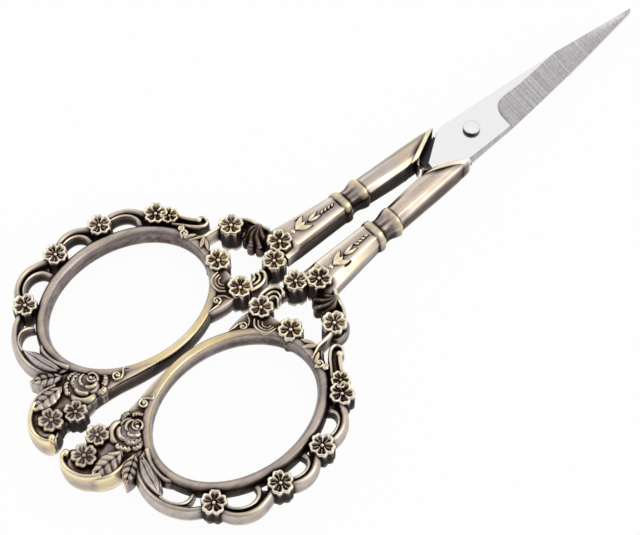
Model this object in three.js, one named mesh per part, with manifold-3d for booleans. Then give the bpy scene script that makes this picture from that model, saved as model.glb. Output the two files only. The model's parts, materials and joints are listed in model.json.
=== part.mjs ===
// Embroidery scissors: two steel blades on a rivet, each carrying a cast openwork handle with a finger ring.
// Millimetres, +Z up. The scissors lie flat and closed with the tips towards +X.
// Shapes are drawn with the pivot at the origin, Z = 0 between the blades and the handle on the +Y side.
import * as THREE from "three";
import { mergeVertices } from "three/addons/utils/BufferGeometryUtils.js";
import Module from "manifold-3d";

const wasm = await Module();
wasm.setup();

// Blades, measured from the pivot.
const PIVOT_TO_TIP = 39.3;
const BLADE_THICKNESS = 1.5;
const BLADE_GAP = 0.1;
const HEEL_X = -4.1;
const HEEL_EDGE = 4.25; // pivot line to the blunt edge behind the cutting edge
const HEEL_SPINE = 3.85; // pivot line to the back of the blade
const HEEL_ANGLE = 33.5; // slope of the heel that faces the other handle
const SHOULDER_X = 22.2;
const SHOULDER_SPINE = 1.9;
const EDGE_AT_GRIND = 3.95;
const EDGE_BELLY = 0.3; // how far the cutting edge swells past a straight line
const TIP_WIDTH = 0.3;
const TIP_THICKNESS = 0.7;
const GRIND_START = 5.3;
const GRIND_LINE = 1.2; // top of the ground face, past the pivot line on the spine side
const EDGE_THICKNESS = 0.3;

// Tang and its seat in the handle.
const TANG_WIDTH = 1.9;
const TANG_LENGTH = 10;
const SEAT_CLEARANCE = 0.12;

// Rivet.
const RIVET_RADIUS = 1.0;
const RIVET_HEAD_RADIUS = 1.45;
const RIVET_HEAD_HEIGHT = 0.5;
const RUNNING_CLEARANCE = 0.07;

// Socket that holds the tang.
const CASTING_THICKNESS = 5.4;
const AXIS_CLEARANCE = 0.2; // middle line to the nearest casting
const MOUTH_ANGLE = 24.5;
const MOUTH_DISTANCE = 5.75; // pivot to the slanted plane of the mouth
const MOUTH_DEPTH = 2.4;
const NOSE_X = -4.4;
const SOCKET_INNER_Y = 0.85;
const SOCKET_FLARE = 1.0; // how far the socket leans outward from nose to collar
const SOCKET_WIDTH = 3.7;
const SOCKET_HEIGHT = 5.0;
const SOCKET_WALL = 0.55;
const LIP_WIDTH = 0.6;
const LIP_RISE = 0.16;

// Collar, neck and shank.
const COLLAR_X = -21.3; // where the socket ends
const FLANGE_WIDTH = 1.5;
const FLANGE_RISE = 0.3;
const NECK_LENGTH = 2.5;
const NECK_WAIST = 0.5; // how far the neck draws in
const BEAD_WIDTH = 1.2;
const BEAD_RISE = 0.3;
const SHANK_INNER_Y = 1.64;
const SHANK_ROOT_WIDTH = 6.0;
const SHANK_NECK_WIDTH = 4.4;
const SHANK_WALL = 2.64; // height of the shank's upright sides

// Finger ring.
const RING_CENTRE_X = -62.85;
const RING_LENGTH = 27.65; // finger hole along the scissors
const RING_BREADTH = 21.25; // finger hole across the scissors
const RING_BAND = 2.0;
const RING_BAND_AXIS = 1.55; // thinner beside the other ring
const RING_HEIGHT = 3.7;
const RING_RISE = 0.3; // the ring's middle, above the middle of the casting

// Ornament.
const PETALS = 5;
const PETAL_NOTCH = 0.2;
const FLOWER_RADIUS = 1.9;
const FLOWER_BACK = 1.6; // how deep the plain backs of the border and end flowers reach
const FLOWER_STANDOFF = 1.75; // border flower's middle, past the ring's outer edge
const BORDER_FLOWER_ANGLES = [138.4, 102, 72.9, 40.9];
const SCALLOP_CRESTS = [4.3, 3.65, 3.3]; // past the ring's outer edge, one for each scallop
const SCALLOP_BAND = 1.3;
const SCALLOP_HEIGHT = 3.7;
const STRAND_WIDTH = 0.8;
const ROSE_RADIUS = 2.8;
const ROSE_ANGLE = 212;
const ROSE_STANDOFF = 1.05;
const LEAF_LENGTH = 6.0;
const LEAF_WIDTH = 2.9;
const INNER_LEAF_SHARE = 0.9; // size of the inner leaf next to the outer one
const INNER_LEAF_ANGLE = 147;
const HOOK_RADIUS = 2.75;
const HOOK_WALL = 1.1;
const WEB_HEIGHT = 2.6;

const RING_STEPS = 36;
const ROUND_STEPS = 28;
const rad = THREE.MathUtils.degToRad;
const lerp = THREE.MathUtils.lerp;
const half = CASTING_THICKNESS / 2;
const bandMean = (RING_BAND + RING_BAND_AXIS) / 2;
const ringA = RING_LENGTH / 2 + bandMean;
const ringB = RING_BREADTH / 2 + bandMean;
const ringCentre = new THREE.Vector2(RING_CENTRE_X, AXIS_CLEARANCE + ringB);

// Solids

function solidOf(geometry) {
  const bare = new THREE.BufferGeometry().setAttribute("position", geometry.getAttribute("position"));
  if (geometry.index) bare.setIndex(geometry.index);
  const merged = mergeVertices(bare, 1e-4);
  const triVerts = new Uint32Array(merged.index.array);
  const vertProperties = new Float32Array(merged.attributes.position.array);
  const made = new wasm.Manifold(new wasm.Mesh({ numProp: 3, vertProperties, triVerts }));
  if (made.volume() > 0) return made;
  for (let i = 0; i < triVerts.length; i += 3) {
    [triVerts[i + 1], triVerts[i + 2]] = [triVerts[i + 2], triVerts[i + 1]];
  }
  return new wasm.Manifold(new wasm.Mesh({ numProp: 3, vertProperties, triVerts }));
}

function geometryOf(solid) {
  const mesh = solid.getMesh();
  const geometry = new THREE.BufferGeometry();
  geometry.setAttribute("position", new THREE.BufferAttribute(new Float32Array(mesh.vertProperties), 3));
  geometry.setIndex(new THREE.BufferAttribute(new Uint32Array(mesh.triVerts), 1));
  geometry.computeVertexNormals();
  return geometry;
}

const joined = (solids) => solids.reduce((whole, piece) => whole.add(piece));

// A loft through rings of equally many points. A ring of one point is a pole; open ends are closed by fans.
function loft(rings, closed = false) {
  const positions = [];
  const index = [];
  const starts = rings.map((ring) => {
    const start = positions.length / 3;
    ring.forEach((p) => positions.push(...p));
    return start;
  });
  const count = Math.max(...rings.map((ring) => ring.length));
  const spans = closed ? rings.length : rings.length - 1;
  const corner = (ring, k) => starts[ring] + (rings[ring].length > 1 ? k % count : 0);
  for (let i = 0; i < spans; i++) {
    const j = (i + 1) % rings.length;
    for (let k = 0; k < count; k++) {
      if (rings[i].length > 1) index.push(corner(i, k), corner(i, k + 1), corner(j, k + 1));
      if (rings[j].length > 1) index.push(corner(i, k), corner(j, k + 1), corner(j, k));
    }
  }
  const cap = (ring, flip) => {
    const points = rings[ring];
    const middle = [0, 1, 2].map((axis) => points.reduce((sum, p) => sum + p[axis], 0) / points.length);
    const hub = positions.push(...middle) / 3 - 1;
    for (let k = 0; k < count; k++) {
      index.push(hub, corner(ring, flip ? k + 1 : k), corner(ring, flip ? k : k + 1));
    }
  };
  const last = rings.length - 1;
  if (!closed && rings[0].length > 1) cap(0, true);
  if (!closed && rings[last].length > 1) cap(last, false);
  const geometry = new THREE.BufferGeometry();
  geometry.setAttribute("position", new THREE.Float32BufferAttribute(positions, 3));
  return solidOf(geometry.setIndex(index));
}

// A section of [across, up] points carried along a flat path. width(u) and height(u) scale it on the way.
function sweep(path, section, { closed = false, width = () => 1, height = () => 1 } = {}) {
  const last = path.length - 1;
  const rings = path.map((p, i) => {
    const before = closed ? path[(i + last) % path.length] : path[Math.max(i - 1, 0)];
    const after = closed ? path[(i + 1) % path.length] : path[Math.min(i + 1, last)];
    const along = after.clone().sub(before).normalize();
    const w = width(i / path.length);
    const h = height(i / path.length);
    return section.map(([across, up]) => [p.x - along.y * across * w, p.y + along.x * across * w, up * h]);
  });
  return loft(rings, closed);
}

// A plate of an outline between two heights.
function plate(outline, bottom, top) {
  const geometry = new THREE.ExtrudeGeometry(new THREE.Shape(outline), { depth: top - bottom, bevelEnabled: false });
  return solidOf(geometry.translate(0, 0, bottom));
}

// A band's section: upright sides from its back, and a front with rounded edges.
function bandSection(width, back, front, round) {
  const w = width / 2;
  const inner = w - round * 0.7;
  return [
    [w, front - round],
    [inner, front],
    [-inner, front],
    [-w, front - round],
    [-w, -back],
    [w, -back],
  ];
}

// A thin strand's section: one ridge along its front.
function ridgeSection(width, back, front) {
  const w = width / 2;
  return [[w, front - w], [0, front], [-w, front - w], [-w, -back], [w, -back]];
}

const at = (x, y) => new THREE.Vector2(x, y);
const near = (point, x, y) => at(point.x + x, point.y + y);
const polar = (centre, radius, degrees) => near(centre, radius * Math.cos(rad(degrees)), radius * Math.sin(rad(degrees)));
const smooth = (points, steps) => new THREE.SplineCurve(points).getPoints(steps);

// A point past the ring's outer edge, square to it.
function ringPoint(degrees, standoff) {
  const t = rad(degrees);
  const normal = at(ringB * Math.cos(t), ringA * Math.sin(t)).normalize();
  return near(ringCentre, ringA * Math.cos(t), ringB * Math.sin(t)).addScaledVector(normal, standoff);
}

// Finger ring

function fingerRing() {
  const band = (u) => lerp(RING_BAND_AXIS, RING_BAND, (1 + Math.sin(u * 2 * Math.PI)) / 2);
  const path = Array.from({ length: RING_STEPS }, (_, i) => ringPoint((i * 360) / RING_STEPS, -band(i / RING_STEPS) / 2));
  const h = RING_HEIGHT / 2;
  const upper = [[0.5, h * 0.5], [0.28, h * 0.94], [-0.28, h * 0.94], [-0.5, h * 0.5]];
  const lower = upper.map(([across, up]) => [-across, -up]);
  const section = [...upper, ...lower].map(([across, up]) => [across, up + RING_RISE]);
  return sweep(path, section, { closed: true, width: band });
}

// Flowers, rose and leaves

// A stack of lobed rings given as [radius, height, notch, twist], from the front pole to the back pole.
function blossom(centre, levels, turn) {
  const points = PETALS * 3;
  const rings = levels.map(([radius, height, notch = 0, twist = 0]) => {
    if (radius === 0) return [[centre.x, centre.y, height]];
    return Array.from({ length: points }, (_, k) => {
      const p = polar(centre, radius * (k % 3 === 0 ? 1 - notch : 1), turn + twist + (k * 360) / points);
      return [p.x, p.y, height];
    });
  });
  return loft(rings);
}

// Five notched petals with raised rims round a bead. A wreath flower is alike on its back; the others have plain backs.
function flower(centre, { radius = FLOWER_RADIUS, turn = 0, twoSided = false } = {}) {
  const dish = radius * 0.36;
  const face = [
    [0, half - dish * 0.3],
    [radius * 0.3, half - dish],
    [radius * 0.76, half, PETAL_NOTCH],
    [radius, half - radius * 0.22, PETAL_NOTCH],
  ];
  const sameBack = face.map(([r, height, notch]) => [r, -height, notch]).reverse();
  const plainBack = [
    [radius, 0, PETAL_NOTCH],
    [radius * 0.8, -FLOWER_BACK * 0.7, PETAL_NOTCH / 2],
    [0, -FLOWER_BACK],
  ];
  return blossom(centre, [...face, ...(twoSided ? sameBack : plainBack)], turn);
}

function rose(centre) {
  const r = ROSE_RADIUS;
  const between = 180 / PETALS;
  return blossom(
    centre,
    [
      [0, half - 0.3],
      [r * 0.2, half],
      [r * 0.33, half - 0.6],
      [r * 0.52, half - 0.1, PETAL_NOTCH, between],
      [r * 0.68, half - 0.5, PETAL_NOTCH, between],
      [r * 0.66, half - 0.85],
      [r * 0.85, half - 0.5, PETAL_NOTCH],
      [r, half - 0.9, PETAL_NOTCH],
      [r, 0, PETAL_NOTCH],
      [r * 0.8, -FLOWER_BACK * 0.8],
      [0, -FLOWER_BACK],
    ],
    8,
  );
}

// A pointed leaf with a sunk midrib; its side veins are a wavy crown.
function leaf(centre, degrees, length, width) {
  const steps = 8;
  const top = half - 0.2;
  const along = polar(at(0, 0), 1, degrees);
  const place = (s, across, up) => [centre.x + along.x * s - along.y * across, centre.y + along.y * s + along.x * across, up];
  const rings = [];
  for (let i = 1; i < steps; i++) {
    const u = i / steps;
    const w = (width / 2) * Math.sin(Math.PI * u ** 0.8);
    const crown = top + (i % 2 ? 0.14 : -0.14);
    const section = [[w, top - 0.7], [w * 0.55, crown], [0, top - 0.4], [-w * 0.55, crown], [-w, top - 0.7]];
    const back = [[-w, -FLOWER_BACK * 0.5], [0, -FLOWER_BACK * 0.8], [w, -FLOWER_BACK * 0.5]];
    rings.push([...section, ...back].map(([across, up]) => place((u - 0.5) * length, across, up)));
  }
  return loft([[place(-length / 2, 0, 0)], ...rings, [place(length / 2, 0, 0)]]);
}

// Scalloped border

const borderFlowers = BORDER_FLOWER_ANGLES.map((degrees) => ringPoint(degrees, FLOWER_STANDOFF));
const scallopSection = bandSection(SCALLOP_BAND, SCALLOP_HEIGHT * 0.4, SCALLOP_HEIGHT * 0.6, 0.45);
const strandSection = ridgeSection(STRAND_WIDTH, SCALLOP_HEIGHT * 0.35, SCALLOP_HEIGHT * 0.58);

// A lopsided arch from one flower to the next, with a thinner strand that curls back to the ring.
function scallop(from, to, crest) {
  const point = (u, standoff) => ringPoint(lerp(from, to, u), standoff);
  const arch = [point(0, FLOWER_STANDOFF), point(0.18, crest * 0.8), point(0.43, crest), point(0.68, crest * 0.84), point(0.88, crest * 0.45)];
  const curl = [point(0.6, crest * 0.86), point(0.72, crest * 0.5), point(0.69, -RING_BAND_AXIS * 0.3)];
  return joined([sweep(smooth(arch, 9), scallopSection), sweep(smooth(curl, 4), strandSection)]);
}

function border() {
  const scallops = SCALLOP_CRESTS.map((crest, i) => scallop(BORDER_FLOWER_ANGLES[i], BORDER_FLOWER_ANGLES[i + 1], crest));
  return joined([...scallops, ...borderFlowers.map((centre, i) => flower(centre, { turn: 17 * i }))]);
}

// Rose cluster at the end of the ring

const roseCentre = ringPoint(ROSE_ANGLE, ROSE_STANDOFF);
const endFlowerRadius = FLOWER_RADIUS * 0.95;
const axisFlower = at(roseCentre.x - 4.5, AXIS_CLEARANCE + endFlowerRadius + 0.35);
const endFlower = near(roseCentre, -7.8, -1.5);
const hookCentre = near(roseCentre, -8.35, -1.75);
const outerLeaf = near(roseCentre, -5.9, 1.6);
const innerLeaf = near(roseCentre, -3.7, 4.6);

function hook() {
  const [start, eye] = [80, 246];
  const path = Array.from({ length: 12 }, (_, i) => polar(hookCentre, HOOK_RADIUS, lerp(start, eye, i / 11)));
  const tip = polar(hookCentre, HOOK_RADIUS, eye);
  const bead = new THREE.SphereGeometry(HOOK_WALL * 0.58, 8, 6).rotateX(Math.PI / 2).scale(1, 1, 2.6);
  return joined([
    sweep(path, bandSection(HOOK_WALL, FLOWER_BACK * 0.9, half - 0.2, 0.5)),
    solidOf(bead.translate(tip.x, tip.y, half - 0.2 - HOOK_WALL * 1.5)),
  ]);
}

function roseCluster() {
  const rim = [230, 200, 170, 140, 110].map((degrees) => polar(hookCentre, HOOK_RADIUS, degrees));
  const floor = [roseCentre, axisFlower, endFlower, ...rim, near(outerLeaf, -1.6, 1.4), near(outerLeaf, 0.5, 1.6), innerLeaf];
  return joined([
    plate(floor, -FLOWER_BACK * 0.8, half - 1.2),
    rose(roseCentre),
    flower(axisFlower, { radius: endFlowerRadius, turn: 10 }),
    flower(endFlower, { turn: 40 }),
    leaf(outerLeaf, 180, LEAF_LENGTH, LEAF_WIDTH),
    leaf(innerLeaf, INNER_LEAF_ANGLE, LEAF_LENGTH * INNER_LEAF_SHARE, LEAF_WIDTH * INNER_LEAF_SHARE),
    hook(),
  ]);
}

// The folded band from the inner leaf to the first border flower.
function leafBand() {
  const start = near(innerLeaf, 0.2, 0.8);
  const outer = smooth([start, ringPoint(175, 2.5), ringPoint(161, 2.95), ringPoint(148.6, 2.8), borderFlowers[0]], 9);
  const inner = smooth([start, ringPoint(176, 0.6), ringPoint(168, -RING_BAND_AXIS * 0.4)], 5);
  return joined([sweep(outer, scallopSection), sweep(inner, scallopSection)]);
}

// Flower wreath between ring and shank

const ringEnd = near(ringCentre, ringA, 0);
const axisFlowerY = AXIS_CLEARANCE + FLOWER_RADIUS + 0.3;
const wreath = {
  outer: near(ringEnd, 4.85, -0.5),
  ring: near(ringEnd, -0.85, -4.2),
  axis: at(ringEnd.x - 1.65, axisFlowerY),
  root: at(ringEnd.x + 5.35, axisFlowerY),
  shank: at(ringEnd.x + 8.55, SHANK_INNER_Y + SHANK_ROOT_WIDTH * 0.48),
};
const shankRootX = wreath.shank.x - 0.6;
const shankCorner = at(shankRootX + 1.2, SHANK_INNER_Y + SHANK_ROOT_WIDTH - 0.8);

// An acanthus shell: tapering strands that spread from a foot and bow to one side.
function fan(foot, degrees, length, bow) {
  const section = ridgeSection(STRAND_WIDTH * 1.1, WEB_HEIGHT * 0.5, half - 0.4);
  const strands = [-1, 0, 1].map((i) => {
    const turn = degrees + i * 24;
    const path = smooth([foot, polar(foot, length * 0.55, turn + bow), polar(foot, length, turn)], 4);
    return sweep(path, section, { width: (u) => 1.15 - 0.4 * u });
  });
  return joined(strands);
}

function flowerWreath() {
  const { outer, ring, axis, root, shank } = wreath;
  const core = bandSection(RING_BAND, WEB_HEIGHT / 2, WEB_HEIGHT / 2, 0.4);
  const link = (a, b, reach) => {
    const side = at(a.y - b.y, b.x - a.x).normalize();
    const middle = a.clone().lerp(b, 0.5).addScaledVector(side, reach);
    return sweep(smooth([a, middle, b], 4), core);
  };
  const web = [ringPoint(-62, -0.6), axis, near(axis, 0.7, 2.2), ring, ringPoint(-20, -0.6), ringPoint(-42, -0.6)];
  const rim = [shankCorner, near(outer, 3.6, -2.0), near(outer, 2.1, 1.1), near(outer, -0.4, 2.4), near(outer, -2.4, 1.9)];
  return joined([
    plate(web, -WEB_HEIGHT / 2, WEB_HEIGHT / 2),
    link(axis, root, -0.5),
    link(root, shank, 0),
    link(shank, outer, 0.9),
    link(outer, ringPoint(6, -0.7), 0.8),
    sweep(smooth(rim, 9), scallopSection, { width: () => 0.75 }),
    fan(near(outer, 1.5, -2.0), -68, 2.6, 30),
    fan(near(axis, 1.5, -0.5), 0, 3.1, 34),
    fan(near(axis, -1.4, 1.0), 100, 3.0, 34),
    flower(outer, { turn: 12, twoSided: true }),
    flower(ring, { turn: 30, twoSided: true }),
    flower(axis, { turn: 5, twoSided: true }),
    flower(root, { radius: FLOWER_RADIUS * 0.95, turn: 48, twoSided: true }),
    flower(shank, { turn: 20, twoSided: true }),
  ]);
}

// The scroll that ends the border beside the wreath.
function scroll() {
  const last = borderFlowers.at(-1);
  const bud = near(last, 1.6, -1.7);
  const eye = near(ringEnd, 1.75, 3.75);
  const spiral = Array.from({ length: 11 }, (_, i) => polar(eye, 1.25 - 0.09 * i, 205 - 36 * i));
  const path = [...smooth([bud, near(bud, 0.9, -1.9), spiral[0]], 4).slice(0, -1), ...spiral];
  return joined([
    flower(bud, { radius: FLOWER_RADIUS * 0.75, turn: 25 }),
    sweep(path, strandSection),
    sweep([ringPoint(17, -0.7), near(eye, -0.6, 0)], strandSection),
    sweep([eye, near(wreath.outer, -1.6, 1.6)], strandSection),
  ]);
}

// Shank, collar, neck and socket

// An eight-sided bar section: upright sides, and slopes that rise to the flats by the given insets.
function barSection(x, { inner, outer, wall, height, innerSlope, outerSlope }) {
  const upper = [[outer, wall / 2], [outer - outerSlope, height / 2], [inner + innerSlope, height / 2], [inner, wall / 2]];
  const lower = upper.map(([y, z]) => [y, -z]).reverse();
  return [...upper, ...lower].map(([y, z]) => [x, y, z]);
}

const socketInner = (x) => SOCKET_INNER_Y + (SOCKET_FLARE * (NOSE_X - x)) / (NOSE_X - COLLAR_X);

function socketSection(x, grow = 0) {
  return barSection(x, {
    inner: socketInner(x) - grow,
    outer: socketInner(x) + SOCKET_WIDTH + grow,
    wall: SOCKET_HEIGHT * 0.72 + grow,
    height: SOCKET_HEIGHT + 2 * grow,
    innerSlope: 0.9,
    outerSlope: 1.0,
  });
}

const flangeX = COLLAR_X - FLANGE_WIDTH;
const beadX = flangeX - NECK_LENGTH;
const shankEndX = beadX - BEAD_WIDTH;

function shank() {
  const bar = (x, width, rise = 0, height = CASTING_THICKNESS - 0.2) =>
    barSection(x, {
      inner: SHANK_INNER_Y - rise,
      outer: SHANK_INNER_Y + width + rise,
      wall: SHANK_WALL + rise,
      height: height,
      innerSlope: 0.75,
      outerSlope: width * 0.36,
    });
  const waist = SOCKET_HEIGHT - 3 * NECK_WAIST;
  return loft([
    bar(shankRootX, SHANK_ROOT_WIDTH),
    bar(shankEndX, SHANK_NECK_WIDTH),
    bar(shankEndX + 0.3, SHANK_NECK_WIDTH, BEAD_RISE, CASTING_THICKNESS),
    bar(beadX - 0.3, SHANK_NECK_WIDTH, BEAD_RISE, CASTING_THICKNESS),
    bar(beadX, SHANK_NECK_WIDTH, -NECK_WAIST * 0.6, waist + 0.6),
    bar(beadX + NECK_LENGTH * 0.45, SHANK_NECK_WIDTH, -NECK_WAIST, waist),
    bar(flangeX, SHANK_NECK_WIDTH, -NECK_WAIST * 0.5, waist + 0.5),
    bar(lerp(flangeX, COLLAR_X, 0.6), SHANK_NECK_WIDTH, FLANGE_RISE * 0.6, CASTING_THICKNESS - 0.1),
    socketSection(COLLAR_X, FLANGE_RISE * 0.5),
    socketSection(COLLAR_X + 0.3),
    socketSection(NOSE_X + 3),
  ]);
}

// The slab between two distances from the pivot, square to the mouth's plane.
function mouthSlab(from, to) {
  const reach = 40;
  const block = new THREE.BoxGeometry(reach, to - from, reach).translate(0, (from + to) / 2, 0);
  return solidOf(block.rotateZ(rad(MOUTH_ANGLE)));
}

function socketLip() {
  const grown = loft([socketSection(COLLAR_X + 3, LIP_RISE), socketSection(NOSE_X + 3, LIP_RISE)]);
  return grown.intersect(mouthSlab(MOUTH_DISTANCE, MOUTH_DISTANCE + LIP_WIDTH));
}

function mouthHollow() {
  const hollow = loft([socketSection(COLLAR_X + 3, -SOCKET_WALL), socketSection(NOSE_X + 3, -SOCKET_WALL)]);
  return hollow.intersect(mouthSlab(0, MOUTH_DISTANCE + MOUTH_DEPTH));
}

// Blade

// The mouth's inner corner, beside which the tang leaves the blade.
const mouthInnerX = (socketInner(-12) * Math.cos(rad(MOUTH_ANGLE)) - MOUTH_DISTANCE) / Math.sin(rad(MOUTH_ANGLE));
const tangEndX = mouthInnerX - TANG_LENGTH;

// Distance of the cutting edge from the pivot line.
function cuttingEdge(x) {
  const u = (x - GRIND_START) / (PIVOT_TO_TIP - GRIND_START);
  return lerp(EDGE_AT_GRIND, TIP_WIDTH / 2, u) + EDGE_BELLY * 4 * u * (1 - u);
}

// From the tip along the cutting edge, round the tang and back along the heel and spine.
function bladeOutline(grow = 0) {
  const tangMiddle = (x) => socketInner(x) + SOCKET_WIDTH / 2;
  const tang = TANG_WIDTH / 2 + grow;
  const inMouth = SOCKET_WIDTH / 2 - SOCKET_WALL - SEAT_CLEARANCE;
  const slope = Math.tan(rad(HEEL_ANGLE));
  const heel = (y) => at(HEEL_X - (HEEL_SPINE + y) / slope - grow, y);
  const edgePoints = Array.from({ length: 9 }, (_, i) => lerp(PIVOT_TO_TIP, GRIND_START, i / 8));
  const mouthX = mouthInnerX + 1.2;
  return [
    ...edgePoints.map((x) => at(x, cuttingEdge(x) + grow)),
    at(NOSE_X + 0.7, HEEL_EDGE + grow),
    at(NOSE_X - 0.9, tangMiddle(NOSE_X) + inMouth + grow),
    at(mouthX, tangMiddle(mouthX) + tang),
    at(tangEndX + 1, tangMiddle(tangEndX) + tang),
    at(tangEndX - grow, tangMiddle(tangEndX)),
    at(tangEndX + 1, tangMiddle(tangEndX) - tang),
    at(mouthInnerX, tangMiddle(mouthInnerX) - tang),
    at(mouthX, tangMiddle(mouthX) - inMouth - grow),
    heel(0.1),
    heel(-HEEL_SPINE + 0.5),
    at(HEEL_X + 0.6, -HEEL_SPINE + 0.05 - grow),
    at(SHOULDER_X, -SHOULDER_SPINE - grow),
    at(PIVOT_TO_TIP, -TIP_WIDTH / 2 - grow),
  ];
}

// What the grinding wheel takes off: a wedge that deepens from the grind line to the cutting edge, with a curved start.
function groundWedge() {
  const clear = 1;
  const start = [[0, EDGE_AT_GRIND + 0.3], [0.2, EDGE_AT_GRIND * 0.62], [0.5, EDGE_AT_GRIND * 0.25], [0.9, 0], [1.7, -GRIND_LINE * 0.66]];
  const stations = [
    ...start.map(([dx, line]) => ({ x: GRIND_START + dx, line, top: BLADE_THICKNESS })),
    { x: GRIND_START + 3.2, line: -GRIND_LINE, top: BLADE_THICKNESS },
    { x: lerp(GRIND_START, SHOULDER_X, 0.45), line: -GRIND_LINE, top: BLADE_THICKNESS },
    { x: SHOULDER_X, line: -SHOULDER_SPINE, top: BLADE_THICKNESS },
    { x: SHOULDER_X + 0.5, line: -SHOULDER_SPINE - 0.2, top: BLADE_THICKNESS },
    { x: PIVOT_TO_TIP + clear, line: -TIP_WIDTH, top: TIP_THICKNESS },
  ];
  const rings = stations.map(({ x, line, top }) => {
    const edge = cuttingEdge(Math.min(x, PIVOT_TO_TIP));
    const fall = (top - EDGE_THICKNESS) / Math.max(edge - line, 0.3);
    const far = edge + clear;
    return [[x, line, top], [x, far, top - fall * (far - line)], [x, far, BLADE_THICKNESS + clear], [x, line, BLADE_THICKNESS + clear]];
  });
  return loft(rings);
}

// The outer face is ground; the inner face is flat and rides on the other blade.
function bladeSolid() {
  const holeRadius = RIVET_RADIUS + RUNNING_CLEARANCE;
  const hole = new THREE.CylinderGeometry(holeRadius, holeRadius, BLADE_THICKNESS * 4, ROUND_STEPS).rotateX(Math.PI / 2);
  return plate(bladeOutline(), 0, BLADE_THICKNESS)
    .subtract(groundWedge())
    .subtract(solidOf(hole))
    .translate(0, 0, BLADE_GAP / 2);
}

// The seat that a casting leaves for the tang.
function tangSeat() {
  const bottom = BLADE_GAP / 2 - SEAT_CLEARANCE;
  return plate(bladeOutline(SEAT_CLEARANCE), bottom, bottom + BLADE_THICKNESS + 2 * SEAT_CLEARANCE);
}

// Rivet with a low head on both blades.
function rivetSolid() {
  const face = BLADE_GAP / 2 + BLADE_THICKNESS + RUNNING_CLEARANCE / 2;
  const head = face + RIVET_HEAD_HEIGHT;
  const upper = [[RIVET_RADIUS, face], [RIVET_HEAD_RADIUS, face], [RIVET_HEAD_RADIUS, face + RIVET_HEAD_HEIGHT * 0.6]];
  const crown = [[RIVET_HEAD_RADIUS * 0.82, head - 0.04], [0, head]];
  const profile = [...upper, ...crown];
  const lower = profile.map(([r, z]) => [r, -z]).reverse();
  const points = [...lower, ...profile].map(([r, z]) => at(r, z));
  return solidOf(new THREE.LatheGeometry(points, ROUND_STEPS).rotateX(Math.PI / 2));
}

// Assembly

function casting() {
  const bar = shank().subtract(mouthSlab(-40, MOUTH_DISTANCE));
  const ornament = [flowerWreath(), fingerRing(), border(), scroll(), leafBand(), roseCluster()];
  return joined([bar, socketLip(), ...ornament]).subtract(mouthHollow());
}

const acrossAxis = [0, 1, 0];
const acrossBlades = [0, 0, 1];
const blade = bladeSolid();
const seat = tangSeat();
const handle = casting();
const castMetal = new THREE.MeshStandardMaterial({ color: 0x8f7a5c, metalness: 1, roughness: 0.42 });
const steel = new THREE.MeshStandardMaterial({ color: 0xd4d6d8, metalness: 1, roughness: 0.22 });

function named(name, solid, material) {
  const mesh = new THREE.Mesh(geometryOf(solid), material);
  mesh.name = name;
  return mesh;
}

const closed = new THREE.Group();
closed.add(
  named("front_blade", blade.mirror(acrossAxis), steel),
  named("front_handle", handle.mirror(acrossAxis).subtract(seat.mirror(acrossAxis)), castMetal),
  named("rear_blade", blade.mirror(acrossBlades), steel),
  named("rear_handle", handle.subtract(seat.mirror(acrossBlades)), castMetal),
  named("pivot_rivet", rivetSolid(), steel),
);

// The origin is the middle of the underside.
const box = new THREE.Box3().setFromObject(closed);
const middle = box.getCenter(new THREE.Vector3());
closed.position.set(-middle.x, -middle.y, -box.min.z);
const scissors = new THREE.Group();
scissors.add(closed);
export default scissors;
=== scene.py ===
"""Looks of the embroidery scissors: steel blades, a rivet and cast handles with an openwork floral border.

Shapes are worked out in millimetres with the pivot at the origin, +X towards the tips, +Z up, the
middle plane between the blades at Z = 0 and the handle on the +Y side. They are then moved into the frame.
"""

from __future__ import annotations

import json
import logging
import math
from dataclasses import dataclass, field
from enum import Enum
from typing import Any, Sequence

import bmesh
import bpy
import numpy as np
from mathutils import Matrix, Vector


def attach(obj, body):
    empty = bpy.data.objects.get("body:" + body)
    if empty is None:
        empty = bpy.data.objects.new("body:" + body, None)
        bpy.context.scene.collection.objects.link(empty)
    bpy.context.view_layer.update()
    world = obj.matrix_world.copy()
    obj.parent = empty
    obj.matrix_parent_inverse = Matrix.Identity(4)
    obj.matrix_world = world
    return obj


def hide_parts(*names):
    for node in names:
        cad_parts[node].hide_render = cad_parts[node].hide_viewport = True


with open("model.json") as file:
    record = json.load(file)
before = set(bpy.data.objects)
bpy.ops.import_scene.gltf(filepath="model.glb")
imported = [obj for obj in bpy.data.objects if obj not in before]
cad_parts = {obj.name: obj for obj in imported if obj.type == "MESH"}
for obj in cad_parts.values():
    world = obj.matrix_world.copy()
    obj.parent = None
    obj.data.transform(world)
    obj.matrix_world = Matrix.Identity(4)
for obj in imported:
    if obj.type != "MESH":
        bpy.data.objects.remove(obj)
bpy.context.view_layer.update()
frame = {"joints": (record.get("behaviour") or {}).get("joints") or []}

LOG = logging.getLogger("scissors")
MM = 0.001
PIVOT = np.array(frame["joints"][0]["pos_m"]) / MM
TINY = 1e-12

Array = np.ndarray


class Side(Enum):
    """Which half of the scissors a piece belongs to."""

    FRONT = "front"
    REAR = "rear"


class Coat(Enum):
    """Material slots of a blade and of the rivet."""

    POLISHED = 0
    GROUND = 1
    # Near-black finish that paints shade at the heels of the blades and round the rivet's side.
    PAINTED_SHADE = 2


def unit(degrees: float | Array) -> Array:
    """Direction in the plane at an angle in degrees."""
    angle = np.radians(degrees)
    return np.stack([np.cos(angle), np.sin(angle)], axis=-1)


def octagon(middle: Any, reach: float) -> Array:
    """Eight points at a distance round a middle."""
    return np.asarray(middle) + reach * unit(np.arange(0, 360, 45))


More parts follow.
